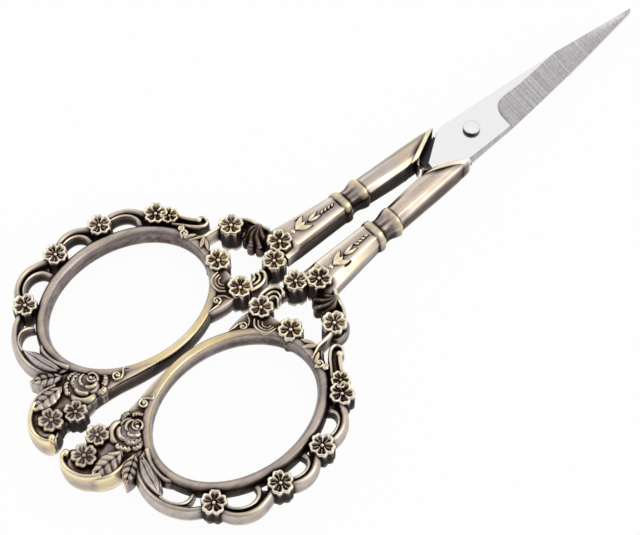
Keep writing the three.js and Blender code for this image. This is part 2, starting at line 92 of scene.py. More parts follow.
def ease(low: float, high: float, values: Array) -> Array:
    """Smooth step: three times the square less twice the cube of the way from low to high.

    Args:
        low: Value at which the step starts.
        high: Value at which it ends.
        values: Values to look up.

    Returns:
        0 below low, 1 above high, and a smooth rise between them.
    """
    t = np.clip((values - low) / (high - low), 0.0, 1.0)
    return t * t * (3.0 - 2.0 * t)


def spline(points: Sequence[Sequence[float]], count: int, closed: bool = False) -> Array:
    """Catmull-Rom curve through the points.

    Args:
        points: Control points, one row each.
        count: Number of samples.
        closed: Whether the curve returns to its first point.

    Returns:
        Samples at even steps of the curve's parameter, one row each.
    """
    knots = np.asarray(points, dtype=float)
    if closed:
        padded = np.vstack([knots[-1:], knots, knots[:2]])
        t = np.linspace(0.0, len(knots), count, endpoint=False)
    else:
        padded = np.vstack([2 * knots[:1] - knots[1:2], knots, 2 * knots[-1:] - knots[-2:-1]])
        t = np.linspace(0.0, len(knots) - 1.0, count)
    i = np.minimum(t.astype(int), len(padded) - 4)
    u = (t - i)[:, None]
    a, b, c, d = padded[i], padded[i + 1], padded[i + 2], padded[i + 3]
    return 0.5 * (2 * b + (c - a) * u + (2 * a - 5 * b + 4 * c - d) * u**2 + (3 * b - a - 3 * c + d) * u**3)


def across(path: Array, closed: bool = False) -> Array:
    """Unit normals to the left of a flat path: its direction, turned by a quarter.

    Args:
        path: Points of the path, one row each.
        closed: Whether the path returns to its first point.

    Returns:
        One normal for each point.
    """
    if closed:
        along = np.roll(path, -1, axis=0) - np.roll(path, 1, axis=0)
    else:
        along = np.gradient(path, axis=0)
    along /= np.linalg.norm(along, axis=1, keepdims=True) + TINY
    return np.stack([-along[:, 1], along[:, 0]], axis=1)


def plane(flat: Array, z: Array) -> Array:
    """Grid of points from their places in the plan and their heights."""
    return np.concatenate([flat, np.broadcast_to(z, flat.shape[:2])[..., None]], axis=2)


def sweep(path: Array, section: Array, width: float | Array = 1.0, closed: bool = False) -> Array:
    """Carries a section of (across, up) points along a flat path.

    Args:
        path: Points of the path, one row each.
        section: Points of the section, one row each, for the whole path or for each of its points.
        width: Scale of the section across, for the whole path or at each point.
        closed: Whether the path returns to its first point.

    Returns:
        Grid of points, path by section.
    """
    reach = section[..., 0] * (np.ones(len(path)) * width)[:, None]
    flat = path[:, None, :] + across(path, closed)[:, None, :] * reach[..., None]
    return plane(flat, section[..., 1])


def rounded(corners: Array, radius: float | Array, steps: int = 4, between: int = 0) -> Array:
    """Rounds the corners of closed polygons with quadratic curves.

    Args:
        corners: Polygon corners, as (..., corner, 2).
        radius: How far from a corner its curve starts.
        steps: Points on each curve.
        between: Points along each flat between two curves.

    Returns:
        Polygon points, as (..., corner * (steps + between), 2).
    """
    before = np.roll(corners, 1, axis=-2) - corners
    after = np.roll(corners, -1, axis=-2) - corners
    longest = 0.45
    start, end = (
        corners + side * np.minimum(radius / (np.linalg.norm(side, axis=-1, keepdims=True) + TINY), longest)
        for side in (before, after)
    )
    t = np.linspace(0.0, 1.0, steps)[:, None]
    curve = start[..., None, :] * (1 - t) ** 2 + corners[..., None, :] * 2 * t * (1 - t) + end[..., None, :] * t**2
    share = np.linspace(0.0, 1.0, between + 2)[1:-1, None]
    flat = end[..., None, :] * (1 - share) + np.roll(start, -1, axis=-2)[..., None, :] * share
    return np.concatenate([curve, flat], axis=-2).reshape(*corners.shape[:-2], -1, 2)


@dataclass
class Shell:
    """Grids of points gathered into one mesh.

    The value of gild when a grid is added is how far its metal is rubbed through to gold: over all of the grid,
    for each row or for each point. On the finger ring's crest it also paints a gold highlight.
    """

    points: list[Array] = field(default_factory=list)
    quads: list[Array] = field(default_factory=list)
    fans: list[Array] = field(default_factory=list)
    slots: list[Array] = field(default_factory=list)
    shine: list[Array] = field(default_factory=list)
    grids: list[Array] = field(default_factory=list)
    gilt: list[Array] = field(default_factory=list)
    gild: float | Array = 0.3
    count: int = 0

    def add(
        self,
        grid: Array,
        wrap: bool = True,
        ends: bool = True,
        loop: bool = False,
        slot: int = 0,
        shine: float | Array = 0.0,
    ) -> None:
        """Adds a grid as a closed tube or an open patch.

        Args:
            grid: Points as (row, column, 3).
            wrap: Whether the last column joins the first.
            ends: Whether the first and last rows are closed by fans.
            loop: Whether the last row joins the first.
            slot: Material slot of the faces.
            shine: How much brighter than its place the metal is, from wear and from painted highlights and shade,
                for all points, each row or each point.
        """
        self.grids.append(grid if not loop else np.concatenate([grid, grid[:1]]))
        rows, columns = grid.shape[:2]
        index = np.arange(rows * columns).reshape(rows, columns)
        if wrap:
            index = np.concatenate([index, index[:, :1]], axis=1)
        if loop:
            index = np.concatenate([index, index[:1]], axis=0)
        quads = np.stack([index[:-1, :-1], index[:-1, 1:], index[1:, 1:], index[1:, :-1]], axis=-1).reshape(-1, 4)
        points = grid.reshape(-1, 3)
        bright, gilt = (
            np.broadcast_to(np.asarray(gain)[:, None] if np.ndim(gain) == 1 else gain, (rows, columns)).reshape(-1)
            for gain in (shine, self.gild)
        )
        fans = np.empty((0, 3), dtype=int)
        if ends and not loop:
            first, last = np.full((2, index.shape[1] - 1), [[len(points)], [len(points) + 1]])
            head = np.stack([first, index[0, 1:], index[0, :-1]], axis=-1)
            tail = np.stack([last, index[-1, :-1], index[-1, 1:]], axis=-1)
            fans = np.vstack([head, tail])
            points = np.vstack([points, grid[[0, -1]].mean(axis=1)])
            bright, gilt = np.append(bright, bright[[0, -1]]), np.append(gilt, gilt[[0, -1]])
        corners = np.concatenate([points[quads[:, :3]], points[quads[:, [0, 2, 3]]], points[fans]])
        volume = np.einsum("ij,ij->", corners[:, 0], np.cross(corners[:, 1], corners[:, 2]))
        if volume < 0:
            quads, fans = quads[:, ::-1], fans[:, ::-1]
        self.points.append(points)
        self.quads.append(quads + self.count)
        self.fans.append(fans + self.count)
        self.slots.append(np.full((len(quads) + len(fans)), slot))
        self.shine.append(bright)
        self.gilt.append(gilt)
        self.count += len(points)

    def mesh(self, name: str, flip: Array, sharp: float, wear_and_light: WearAndLight | None = None) -> bpy.types.Object:
        """Makes the object from all grids.

        Args:
            name: Object name.
            flip: Signs that mirror the shape into its half.
            sharp: Angle in degrees past which an edge is kept sharp.
            wear_and_light: How the metal is rubbed, and with it the painted light and shade of the grids, where
                the mesh keeps that.

        Returns:
            The new object, linked to the scene.
        """
        points = (np.vstack(self.points) * flip + PIVOT) * MM
        turn = -1 if np.prod(flip) < 0 else 1
        faces = [part[:, ::turn] for pair in zip(self.quads, self.fans) for part in pair if len(part)]
        sides = np.concatenate([np.full(len(part), part.shape[1]) for part in faces])
        mesh = bpy.data.meshes.new(name)
        mesh.vertices.add(len(points))
        mesh.vertices.foreach_set("co", points.ravel())
        mesh.loops.add(int(sides.sum()))
        mesh.loops.foreach_set("vertex_index", np.concatenate([part.ravel() for part in faces]).astype(np.int32))
        mesh.polygons.add(len(sides))
        mesh.polygons.foreach_set("loop_start", (np.cumsum(sides) - sides).astype(np.int32))
        mesh.polygons.foreach_set("material_index", np.concatenate(self.slots).astype(np.int32))
        mesh.update(calc_edges=True)
        mesh.polygons.foreach_set("use_smooth", np.ones(len(sides), dtype=bool))
        if wear_and_light is not None:
            normals = np.empty(len(points) * 3, dtype=np.float32)
            mesh.vertex_normals.foreach_get("vector", normals)
            # Wear together with the painted highlights and shade of the grids, kept as one attribute.
            rubbed = wear_and_light.by_shape(self) + wear_and_light.by_height(self, normals[2::3])
            for key, value in (("wear_and_light", rubbed), ("gilt", np.concatenate(self.gilt))):
                mesh.attributes.new(key, "FLOAT", "POINT").data.foreach_set("value", value.astype(np.float32))
        mesh.set_sharp_from_angle(angle=math.radians(sharp))
        mesh.update()
        thing = bpy.data.objects.new(name, mesh)
        bpy.context.scene.collection.objects.link(thing)
        return thing


def resample(grid: Array, step: float, axis: int) -> Array:
    """Adds points along one axis of a grid, by straight lines between its rows.

    Args:
        grid: Points as (row, column, 3).
        step: Greatest distance between neighbours.
        axis: 0 to add rows, 1 to add columns.

    Returns:
        The finer grid.
    """
    rows = np.moveaxis(grid, axis, 0)
    gaps = np.linalg.norm(np.diff(rows, axis=0), axis=2).max(axis=1)
    length = np.concatenate([[0.0], np.cumsum(gaps)])
    at = np.interp(np.arange(0.0, length[-1] + step, step), length, np.arange(len(length)))
    i = np.minimum(at.astype(int), len(rows) - 2)
    u = (at - i)[:, None, None]
    return np.moveaxis(rows[i] * (1 - u) + rows[i + 1] * u, 0, axis)


def blur(cells: Array, reach: float) -> Array:
    """Gaussian blur of a field of cells, by way of its spectrum.

    Args:
        cells: The field.
        reach: Spread of the blur in cells.

    Returns:
        The blurred field.
    """
    spectrum = np.fft.rfftn(cells)
    for axis, size in enumerate(cells.shape):
        wave = np.fft.rfftfreq(size) if axis == cells.ndim - 1 else np.fft.fftfreq(size)
        form = [1] * cells.ndim
        form[axis] = -1
        spectrum *= np.exp(-2.0 * (math.pi * reach * wave) ** 2).reshape(form)
    return np.fft.irfftn(spectrum, cells.shape)


def sample(cells: Array, at: Array) -> Array:
    """Values of a field between the middles of its eight nearest cells, each by its share.

    Args:
        cells: The field.
        at: Places in cells, one row each.

    Returns:
        One value for each place.
    """
    i = at.astype(int)
    part = at - i
    total = np.zeros(len(at))
    for corner in np.ndindex(2, 2, 2):
        share = np.prod(np.where(corner, part, 1 - part), axis=1)
        total += share * cells[tuple((i + corner).T)]
    return total


@dataclass(frozen=True)
class WearAndLight:
    """How a casting is rubbed, with the painted light and shade of its grids added, about 0 in a recess, 0.5 on a
    face and 1 on an edge; lengths are in millimetres.
    """

    cell: float = 0.2
    split: int = 3
    spacing: float = 0.7
    margin: float = 4.0
    edge_reach: float = 0.32
    recess_reach: float = 1.0
    face: float = 0.35
    edge_gain: float = 1.5
    recess_gain: float = 0.5
    level_gain: float = 0.13
    brow: float = 2.2
    deepest: float = 3.0
    depth_loss: float = 0.06

    def metal(self, shell: Shell, low: Array, shape: Array) -> Array:
        """Cuts the space round a casting into cells and finds the share of metal in each.

        Args:
            shell: The casting, each of whose grids is one lump with a top and a bottom.
            low: Corner of the first cell.
            shape: Number of cells along each axis.

        Returns:
            The share of each cell, from 0 to 1.
        """
        metal = np.zeros(shape)
        floor = low[2] + self.cell * np.arange(shape[2])
        step = self.spacing * self.cell / self.split
        outside = 99.0
        for grid in shell.grids:
            fine = resample(resample(grid, step, 0), step, 1).reshape(-1, 3)
            at = ((fine[:, :2] - low[:2]) / self.cell * self.split).astype(int)
            start, stop = at.min(axis=0) // self.split, at.max(axis=0) // self.split + 1
            at -= start * self.split
            top = np.full((stop - start) * self.split, -outside)
            bottom = -top
            np.maximum.at(top, tuple(at.T), fine[:, 2])
            np.minimum.at(bottom, tuple(at.T), fine[:, 2])
            span = np.minimum(top[..., None], floor + self.cell) - np.maximum(bottom[..., None], floor)
            wide, deep = stop - start
            columns = np.clip(span / self.cell, 0, 1).reshape(wide, self.split, deep, self.split, -1)
            part = metal[start[0] : stop[0], start[1] : stop[1]]
            np.maximum(part, columns.mean(axis=(1, 3)), out=part)
        return metal

    def by_shape(self, shell: Shell) -> Array:
        """Works out how worn each point of a casting is from how much metal is around it.

        The shares of metal are blurred over a short and a long reach. On a flat face half of the surroundings is
        metal. An edge has less, so it is rubbed bright, and a recess has more, so it keeps its dark patina. The
        painted light and shade that each grid carries is added on top.

        Args:
            shell: The casting.

        Returns:
            One value for each point.
        """
        points = np.vstack(shell.points)
        low = points.min(axis=0) - self.margin
        shape = np.ceil((points.max(axis=0) + self.margin - low) / self.cell).astype(int)
        metal = self.metal(shell, low, shape)
        at = (points - low) / self.cell - 0.5
        near, far = (sample(blur(metal, reach / self.cell), at) for reach in (self.edge_reach, self.recess_reach))
        shine = np.concatenate(shell.shine)
        return self.face + self.edge_gain * (0.5 - near) + self.recess_gain * (0.5 - far) + shine

    def by_height(self, shell: Shell, up: Array) -> Array:
        """Works out what height adds: faces that look up or down are rubbed, and walls darken on the way down.

        Args:
            shell: The casting.
            up: Upward part of the normal at each point.

        Returns:
            One value for each point.
        """
        depth = np.clip(self.brow - np.vstack(shell.points)[:, 2], 0.0, self.deepest)
        return self.level_gain * np.abs(up) - self.depth_loss * depth * (1 - np.clip(-up, 0, 1))


class Value:
    """A socket of a shader that takes part in Python expressions."""

    def __init__(self, shader: Shader, socket: bpy.types.NodeSocket) -> None:
        """Wraps a socket of a shader."""
        self.shader = shader
        self.socket = socket

    def _math(self, operation: str, first: Any, second: Any = 0.0, clamp: bool = False) -> Value:
        """Adds a Math node for two operands."""
        settings = {"operation": operation, "use_clamp": clamp}
        return self.shader.node("ShaderNodeMath", settings, {0: first, 1: second})

    def __add__(self, other: Any) -> Value:
        """Sum."""
        return self._math("ADD", self, other)

    __radd__ = __add__

    def __mul__(self, other: Any) -> Value:
        """Product."""
        return self._math("MULTIPLY", self, other)

    __rmul__ = __mul__

    def __sub__(self, other: Any) -> Value:
        """Difference."""
        return self._math("SUBTRACT", self, other)

    def __rsub__(self, other: Any) -> Value:
        """Reflected difference."""
        return self._math("SUBTRACT", other, self)

    def __pow__(self, other: Any) -> Value:
        """Power."""
        return self._math("POWER", self, other)

    def __rpow__(self, other: Any) -> Value:
        """Reflected power."""
        return self._math("POWER", other, self)

    def exp(self) -> Value:
        """Exponential."""
        return self._math("EXPONENT", self)

    def clamped(self) -> Value:
        """The value kept between 0 and 1."""
        return self._math("ADD", self, 0.0, clamp=True)


class Shader:
    """The node tree of a material or a world, built by expressions."""

    def __init__(self, name: str, world: bool = False) -> None:
        """Starts a material or a world with only its output.

        Args:
            name: Name of the material or world.
            world: Whether it is a world.
        """
        self.owner = bpy.data.worlds.new(name) if world else bpy.data.materials.new(name)
        self.owner.use_nodes = True
        self.tree = self.owner.node_tree
        self.tree.nodes.clear()
        self.output = self.tree.nodes.new("ShaderNodeOutputWorld" if world else "ShaderNodeOutputMaterial")

    def node(
        self, kind: str, settings: dict[str, Any] | None = None, inputs: dict[Any, Any] | None = None, out: Any = 0
    ) -> Value:
        """Adds any node.

        Args:
            kind: Node type.
            settings: Properties to set first; "stops" gives a ramp's positions and colours.
            inputs: Socket names or numbers with their values or links.
            out: Name or number of the output to return.

        Returns:
            The chosen output.
        """
        made = self.tree.nodes.new(kind)
        for key, value in (settings or {}).items():
            if key == "stops":
                self._stops(made.color_ramp, value)
            else:
                setattr(made, key, value)
        for key, value in (inputs or {}).items():
            if isinstance(value, Value):
                self.tree.links.new(value.socket, made.inputs[key])
            else:
                made.inputs[key].default_value = value
        return Value(self, made.outputs[out])

    @staticmethod
    def _stops(ramp: bpy.types.ColorRamp, stops: Sequence[tuple[float, tuple[float, float, float]]]) -> None:
        """Gives a colour ramp its stops.

        Args:
            ramp: The ramp.
            stops: Positions with their colours.
        """
        while len(ramp.elements) < len(stops):
            ramp.elements.new(1.0)
        for element, (position, colour) in zip(ramp.elements, stops):
            element.position = position
            element.color = (*colour, 1.0)

    def noise(self, scale: float, detail: float = 3.0, stretch: tuple[float, float, float] = (1, 1, 1)) -> Value:
        """Noise on Object coordinates.

        Args:
            scale: Number of cells to a metre.
            detail: Number of finer layers.
            stretch: Scale of the coordinates along each axis.

        Returns:
            Values round 0.5.
        """
        place = self.node("ShaderNodeTexCoord", out="Object")
        place = self.node("ShaderNodeMapping", {}, {"Vector": place, "Scale": stretch})
        return self.node("ShaderNodeTexNoise", {}, {"Vector": place, "Scale": scale, "Detail": detail}, out=0)

    def finish(self, surface: Value) -> bpy.types.Material | bpy.types.World:
        """Connects the surface to the output and returns the material or world."""
        self.tree.links.new(surface.socket, self.output.inputs["Surface"])
        return self.owner


@dataclass(frozen=True)
class AntiqueBrass:
    """Cast metal with an antique finish: dark in the recesses, pinkish grey on the faces, gold on rubbed edges."""

    recess: tuple[float, float, float] = (0.020, 0.012, 0.008)
    shade: tuple[float, float, float] = (0.090, 0.058, 0.040)
    patina: tuple[float, float, float] = (0.25, 0.21, 0.21)
    face: tuple[float, float, float] = (0.48, 0.415, 0.395)
    rubbed: tuple[float, float, float] = (0.71, 0.62, 0.52)
    edge: tuple[float, float, float] = (0.93, 0.87, 0.76)
    gold_face: tuple[float, float, float] = (0.47, 0.39, 0.30)
    gold: tuple[float, float, float] = (0.72, 0.57, 0.31)
    gold_edge: tuple[float, float, float] = (0.96, 0.85, 0.57)
    stops: tuple[float, ...] = (0.12, 0.29, 0.41, 0.57, 0.73, 0.92)
    blotches: tuple[Any, ...] = (300.0, 5.0)
    streaks: tuple[Any, ...] = (260.0, 4.0, (0.10, 2.6, 2.6))
    scratches: tuple[Any, ...] = (260.0, 2.0, (0.14, 8.0, 8.0))
    clouds: tuple[Any, ...] = (170.0, 3.0)
    grain: tuple[Any, ...] = (1900.0, 3.0)
    blotch_gain: float = 0.22
    streak_gain: float = 0.26
    scratch_gain: float = 0.16
    grain_gain: float = 0.08
    gilt_gain: float = 1.6
    polish: float = 0.25
    dullness: float = 0.4
    grain_dullness: float = 0.12
    grain_depth: float = 0.00006
    grain_strength: float = 0.16

    def material(self, name: str) -> bpy.types.Material:
        """Builds the node material.

        The wear_and_light attribute, which holds wear with painted light and shade, is stirred by noise, picks the
        colour from a grey or a golden ramp and makes dark places duller.

        Args:
            name: Material name.

        Returns:
            The material, which reads the wear_and_light and gilt attributes of its mesh.
        """
        s = Shader(name)
        wear_and_light, gilt = (
            s.node("ShaderNodeAttribute", {"attribute_name": key}, out="Fac")
            for key in ("wear_and_light", "gilt")
        )
        blotch = s.noise(*self.blotches) - 0.5
        streak = s.noise(*self.streaks) - 0.5
        scratch = s.noise(*self.scratches) - 0.5
        grain = s.noise(*self.grain)
        fine = grain - 0.5
        warm = (gilt + (s.noise(*self.clouds) - 0.5) * self.gilt_gain).clamped()
        mottle = blotch * self.blotch_gain + streak * self.streak_gain
        mottle = mottle + scratch * self.scratch_gain + fine * self.grain_gain
        tone = (wear_and_light + mottle).clamped()
        dark = (self.recess, self.shade, self.patina)
        cool = (self.face, self.rubbed, self.edge)
        gold = (self.gold_face, self.gold, self.gold_edge)
        greyed, gilded = (
            s.node("ShaderNodeValToRGB", {"stops": list(zip(self.stops, dark + part))}, {"Fac": tone})
            for part in (cool, gold)
        )
        colour = s.node("ShaderNodeMixRGB", {}, {0: warm, 1: greyed, 2: gilded})
        rough = self.polish + (1.0 - tone) ** 3.0 * self.dullness + fine * self.grain_dullness
        relief = {"Strength": self.grain_strength, "Distance": self.grain_depth, "Height": grain}
        bump = s.node("ShaderNodeBump", {}, relief)
        metal = s.node(
            "ShaderNodeBsdfPrincipled",
            {},
            {"Base Color": colour, "Metallic": 1.0, "Roughness": rough, "Normal": bump},
        )
        return s.finish(metal)


@dataclass(frozen=True)
class PolishedSteel:
    """Bright polished steel with faint scratches."""

    colour: tuple[float, float, float] = (0.805, 0.805, 0.81)
    roughness: float = 0.15
    scratches: tuple[Any, ...] = (60.0, 6.0, (4.0, 30.0, 4.0))
    scratch_gain: float = 0.06

    def material(self, name: str) -> bpy.types.Material:
        """Builds the node material: one colour whose gloss is stirred by long scratches.

        Args:
            name: Material name.

        Returns:
            The material.
        """
        s = Shader(name)
        rough = self.roughness + (s.noise(*self.scratches) - 0.5) * self.scratch_gain
        metal = s.node(
            "ShaderNodeBsdfPrincipled",
            {},
            {"Base Color": (*self.colour, 1.0), "Metallic": 1.0, "Roughness": rough},
        )
        return s.finish(metal)


@dataclass(frozen=True)
class GroundSteel:
    """Ground steel whose grinding lines run across the blade."""

    dark: tuple[float, float, float] = (0.17, 0.163, 0.168)
    light: tuple[float, float, float] = (0.63, 0.61, 0.625)
    roughness: float = 0.34
    lines: tuple[Any, ...] = (100.0, 2.0, (40.0, 0.45, 0.45))
    specks: tuple[Any, ...] = (100.0, 1.0, (34.0, 22.0, 22.0))
    middle: float = 0.58
    line_gain: float = 1.1
    speck_gain: float = 0.5
    line_roughness: float = 0.2
    line_depth: float = 0.00004
    line_strength: float = 0.22

    def material(self, name: str) -> bpy.types.Material:
        """Builds the node material: noise drawn out across the blade, broken by specks, from dark to light.

        Args:
            name: Material name.

        Returns:
            The material.
        """
        s = Shader(name)
        lines = s.noise(*self.lines)
        specks = s.noise(*self.specks)
        tone = (self.middle + (lines - 0.5) * self.line_gain + (specks - 0.5) * self.speck_gain).clamped()
        stops = [(0.1, self.dark), (0.9, self.light)]
        colour = s.node("ShaderNodeValToRGB", {"stops": stops}, {"Fac": tone})
        relief = {"Strength": self.line_strength, "Distance": self.line_depth, "Height": lines}
        bump = s.node("ShaderNodeBump", {}, relief)
        metal = s.node(
            "ShaderNodeBsdfPrincipled",
            {},
            {
                "Base Color": colour,
                "Metallic": 1.0,
                "Roughness": self.roughness + (lines - 0.5) * self.line_roughness,
                "Normal": bump,
            },
        )
        return s.finish(metal)


@dataclass
class Blade:
    """A blade with its tang: ground outer face, flat inner face."""

    tip_x: float = 39.298
    thickness: float = 1.5
    gap: float = 0.1
    notch_x: tuple[float, float, float] = (-10.7, -10.25, -10.07)
    heel_x: float = -4.1
    heel_lead: float = 0.75
    heel_run: float = 0.6
    heel_spine: float = 3.85
    shoulder_x: float = 22.2
    shoulder_spine: float = 1.9
    grind_x: float = 5.3
    grind_lead: float = 0.1
    grind_run: float = 0.25
    grind_edge: float = 3.95
    belly: float = 0.3
    hollow: float = 0.10
    tip_width: float = 0.3
    tip_thickness: float = 0.7
    edge_thickness: float = 0.3
    tang_x: float = -18.0
    soft: float = 0.07
    crease: float = 9.0

    @property
    def heel(self) -> tuple[float, float]:
        """Where the heel starts and ends along the blade."""
        return self.heel_x - self.heel_lead, self.heel_x + self.heel_run

    def edge(self, x: Array) -> Array:
        """Finds the cutting side: a blunt tang and heel, then a straight line with a parabola's belly added.

        Args:
            x: Places along the blade.

        Returns:
            Distance from the pivot line at each place.
        """
        u = np.clip((x - self.grind_x) / (self.tip_x - self.grind_x), 0, 1)
        cutting = self.grind_edge * (1 - u) + self.tip_width / 2 * u + self.belly * 4 * u * (1 - u)
        knots = [self.tang_x, -11.0, -5.4, -3.9, self.grind_x]
        blunt = np.interp(x, knots, [4.55, 4.05, 3.75, 4.27, self.grind_edge])
        return np.where(x < self.grind_x, blunt, cutting)

    def spine(self, x: Array) -> Array:
        """Finds the back of the blade: straight lines from tang to notch, heel, shoulder and tip.

        Args:
            x: Places along the blade.

        Returns:
            Position across the blade at each place.
        """
        knots = [self.tang_x, *self.notch_x, *self.heel, self.shoulder_x, self.tip_x]
        values = [2.6, 2.1, 1.1, 0.1, -3.35, -self.heel_spine, -self.shoulder_spine, -self.tip_width / 2]
        return np.interp(x, knots, values)

    def line(self, x: Array) -> Array:
        """Finds the top of the ground face: a curved start near the edge, then along the blade to the spine.

        Args:
            x: Places along the blade.

        Returns:
            Position across the blade at each place.
        """
        knots = [self.grind_x, 5.42, 5.6, 5.9, 6.3, 6.9, 7.7, 8.8, 13.0, 17.0, self.shoulder_x]
        values = [self.grind_edge, 2.6, 1.5, 0.6, -0.1, -0.7, -1.08, -1.22, -1.2, -1.5, -self.shoulder_spine]
        return np.maximum(np.interp(x, knots, values), self.spine(x))

    def build(
        self, side: Side, polished: bpy.types.Material, ground: bpy.types.Material, painted_shade: bpy.types.Material
    ) -> bpy.types.Object:
        """Makes one blade.

        Lines along its edge, its grinding line and its spine are joined by ruled strips, and both ends are closed.
        The ground face sinks between edge and grinding line by half a sine.

        Args:
            side: Half that the blade belongs to.
            polished: Finish of the flat faces.
            ground: Finish of the ground face.
            painted_shade: Near-black finish that paints the shade on the back wall and the inner face at the heel.

        Returns:
            The blade object.
        """
        stretches = ((self.tang_x, -3.0, 60), (-3.0, 5.2, 20), (5.2, 9.0, 40), (9.0, self.tip_x, 60))
        corners = [*self.notch_x, *self.heel, self.shoulder_x]
        x = np.unique(np.concatenate([*(np.linspace(*stretch) for stretch in stretches), corners]))
        u = np.clip((x - self.shoulder_x) / (self.tip_x - self.shoulder_x), 0, 1)
        top = self.thickness + (self.tip_thickness - self.thickness) * u
        edge, spine, line = self.edge(x), self.spine(x), self.line(x)
        cut = ease(self.grind_x - self.grind_lead, self.grind_x + self.grind_run, x)
        edge_top = self.thickness * (1 - cut) + self.edge_thickness * cut
        base = self.gap / 2
        soft = self.soft

        def row(y: Array, z: Array) -> Array:
            """One line of points along the blade."""
            return np.stack([x, y, z + base], axis=1)

        def patch(rows: Sequence[Array] | Array, coat: Coat) -> None:
            """Adds an open strip between lines."""
            shell.add(np.stack(rows), wrap=False, ends=False, slot=coat.value)

        shell = Shell()
        side_top = edge_top - np.minimum(soft, edge_top * 0.3)
        flat_end = np.minimum(line, edge - soft)
        back = spine + np.minimum(soft, (edge - spine) * 0.2)
        patch([row(flat_end, top), row(back, top)], Coat.POLISHED)
        patch([row(back, top), row(spine, top - soft)], Coat.POLISHED)
        patch([row(edge, 0 * x), row(edge, side_top)], Coat.GROUND)
        wall = np.stack([row(spine, top - soft), row(spine, 0 * x)])
        inside = np.stack([row(spine, 0 * x), row(edge, 0 * x)])
        # Up to the heel the back wall and the inner face take the near-black finish, which paints their shade.
        for face, clean_x in zip((wall, inside), self.heel[::-1]):
            clean = int(np.searchsorted(x, clean_x))
            patch(face[:, : clean + 1], Coat.PAINTED_SHADE)
            patch(face[:, clean:], Coat.POLISHED)
        bevel_start, bevel_end = row(flat_end, top), row(edge - soft * 0.5, np.minimum(edge_top, top))
        steps = np.linspace(0, 1, 12)[:, None, None]
        hollow = self.hollow * np.sin(np.pi * steps) * cut[None, :, None] * np.array([0, 0, 1.0])
        bevel = bevel_start[None] * (1 - steps) + bevel_end[None] * steps - hollow
        patch(bevel, Coat.GROUND)
        patch([bevel_end, row(edge, side_top)], Coat.GROUND)
        outline = [*inside, row(edge, side_top), *bevel[::-1], row(back, top), wall[0]]
        for end in (0, -1):
            loop = np.stack([part[end] for part in outline])
            shell.add(np.stack([loop, 0 * loop + loop.mean(axis=0)]), ends=False)
        flip = np.array([1, -1, 1]) if side is Side.FRONT else np.array([1, 1, -1])
        blade = shell.mesh(f"{side.value}_blade_steel", flip, self.crease)
        for finish in (polished, ground, painted_shade):
            blade.data.materials.append(finish)
        repair(blade, self.crease)
        return blade


def repair(thing: bpy.types.Object, sharp: float) -> None:
    """Merges doubled points of an object, turns its faces outwards and keeps edges past an angle sharp.

    Args:
        thing: Object whose mesh is mended.
        sharp: The angle in degrees.
    """
    doubled = 2e-6
    work = bmesh.new()
    work.from_mesh(thing.data)
    bmesh.ops.remove_doubles(work, verts=work.verts, dist=doubled)
    bmesh.ops.recalc_face_normals(work, faces=work.faces)
    work.to_mesh(thing.data)
    work.free()
    thing.data.set_sharp_from_angle(angle=math.radians(sharp))


@dataclass
class Rivet:
    """Pivot rivet with a flat-topped head on both blades, its side near-black as painted shade.

    The crown of a head is given as shares of its radius with their depths below its top.
    """

    radius: float = 1.0
    head_radius: float = 1.45
    head_height: float = 0.72
    face: float = 1.58
    foot: float = 0.05
    crown: tuple[tuple[float, float], ...] = (
        (0.985, 0.17),
        (0.95, 0.1),
        (0.86, 0.06),
        (0.72, 0.036),
        (0.5, 0.018),
        (0.25, 0.005),
        (0.0, 0.0),
    )
    columns: int = 64
    crease: float = 35.0

    def build(self, steel: bpy.types.Material, painted_shade: bpy.types.Material) -> bpy.types.Object:
        """Makes the rivet as profiles turned about its axis.

        Args:
            steel: Finish of the crowns.
            painted_shade: Near-black finish of the side, which paints its shade.

        Returns:
            The rivet object.
        """
        top = self.face + self.head_height
        r = self.head_radius
        dome = [[r * share, top - depth] for share, depth in self.crown]
        side = [[self.radius, 0.0], [self.radius, self.face], [r, self.face], [r, self.face + self.foot], dome[0]]
        turn = unit(np.linspace(0, 360, self.columns, endpoint=False))
        shell = Shell()
        for way in (1, -1):
            # The side takes the near-black finish, which paints the shade round the head.
            for profile, coat in ((side, Coat.PAINTED_SHADE), (dome, Coat.POLISHED)):
                line = np.array(profile)[:, None] * [1, way]
                shell.add(plane(line[..., :1] * turn, line[..., 1]), ends=False, slot=coat.value)
        rivet = shell.mesh("pivot_rivet_steel", np.ones(3), self.crease)
        for finish in (steel, steel, painted_shade):
            rivet.data.materials.append(finish)
        repair(rivet, self.crease)
        return rivet


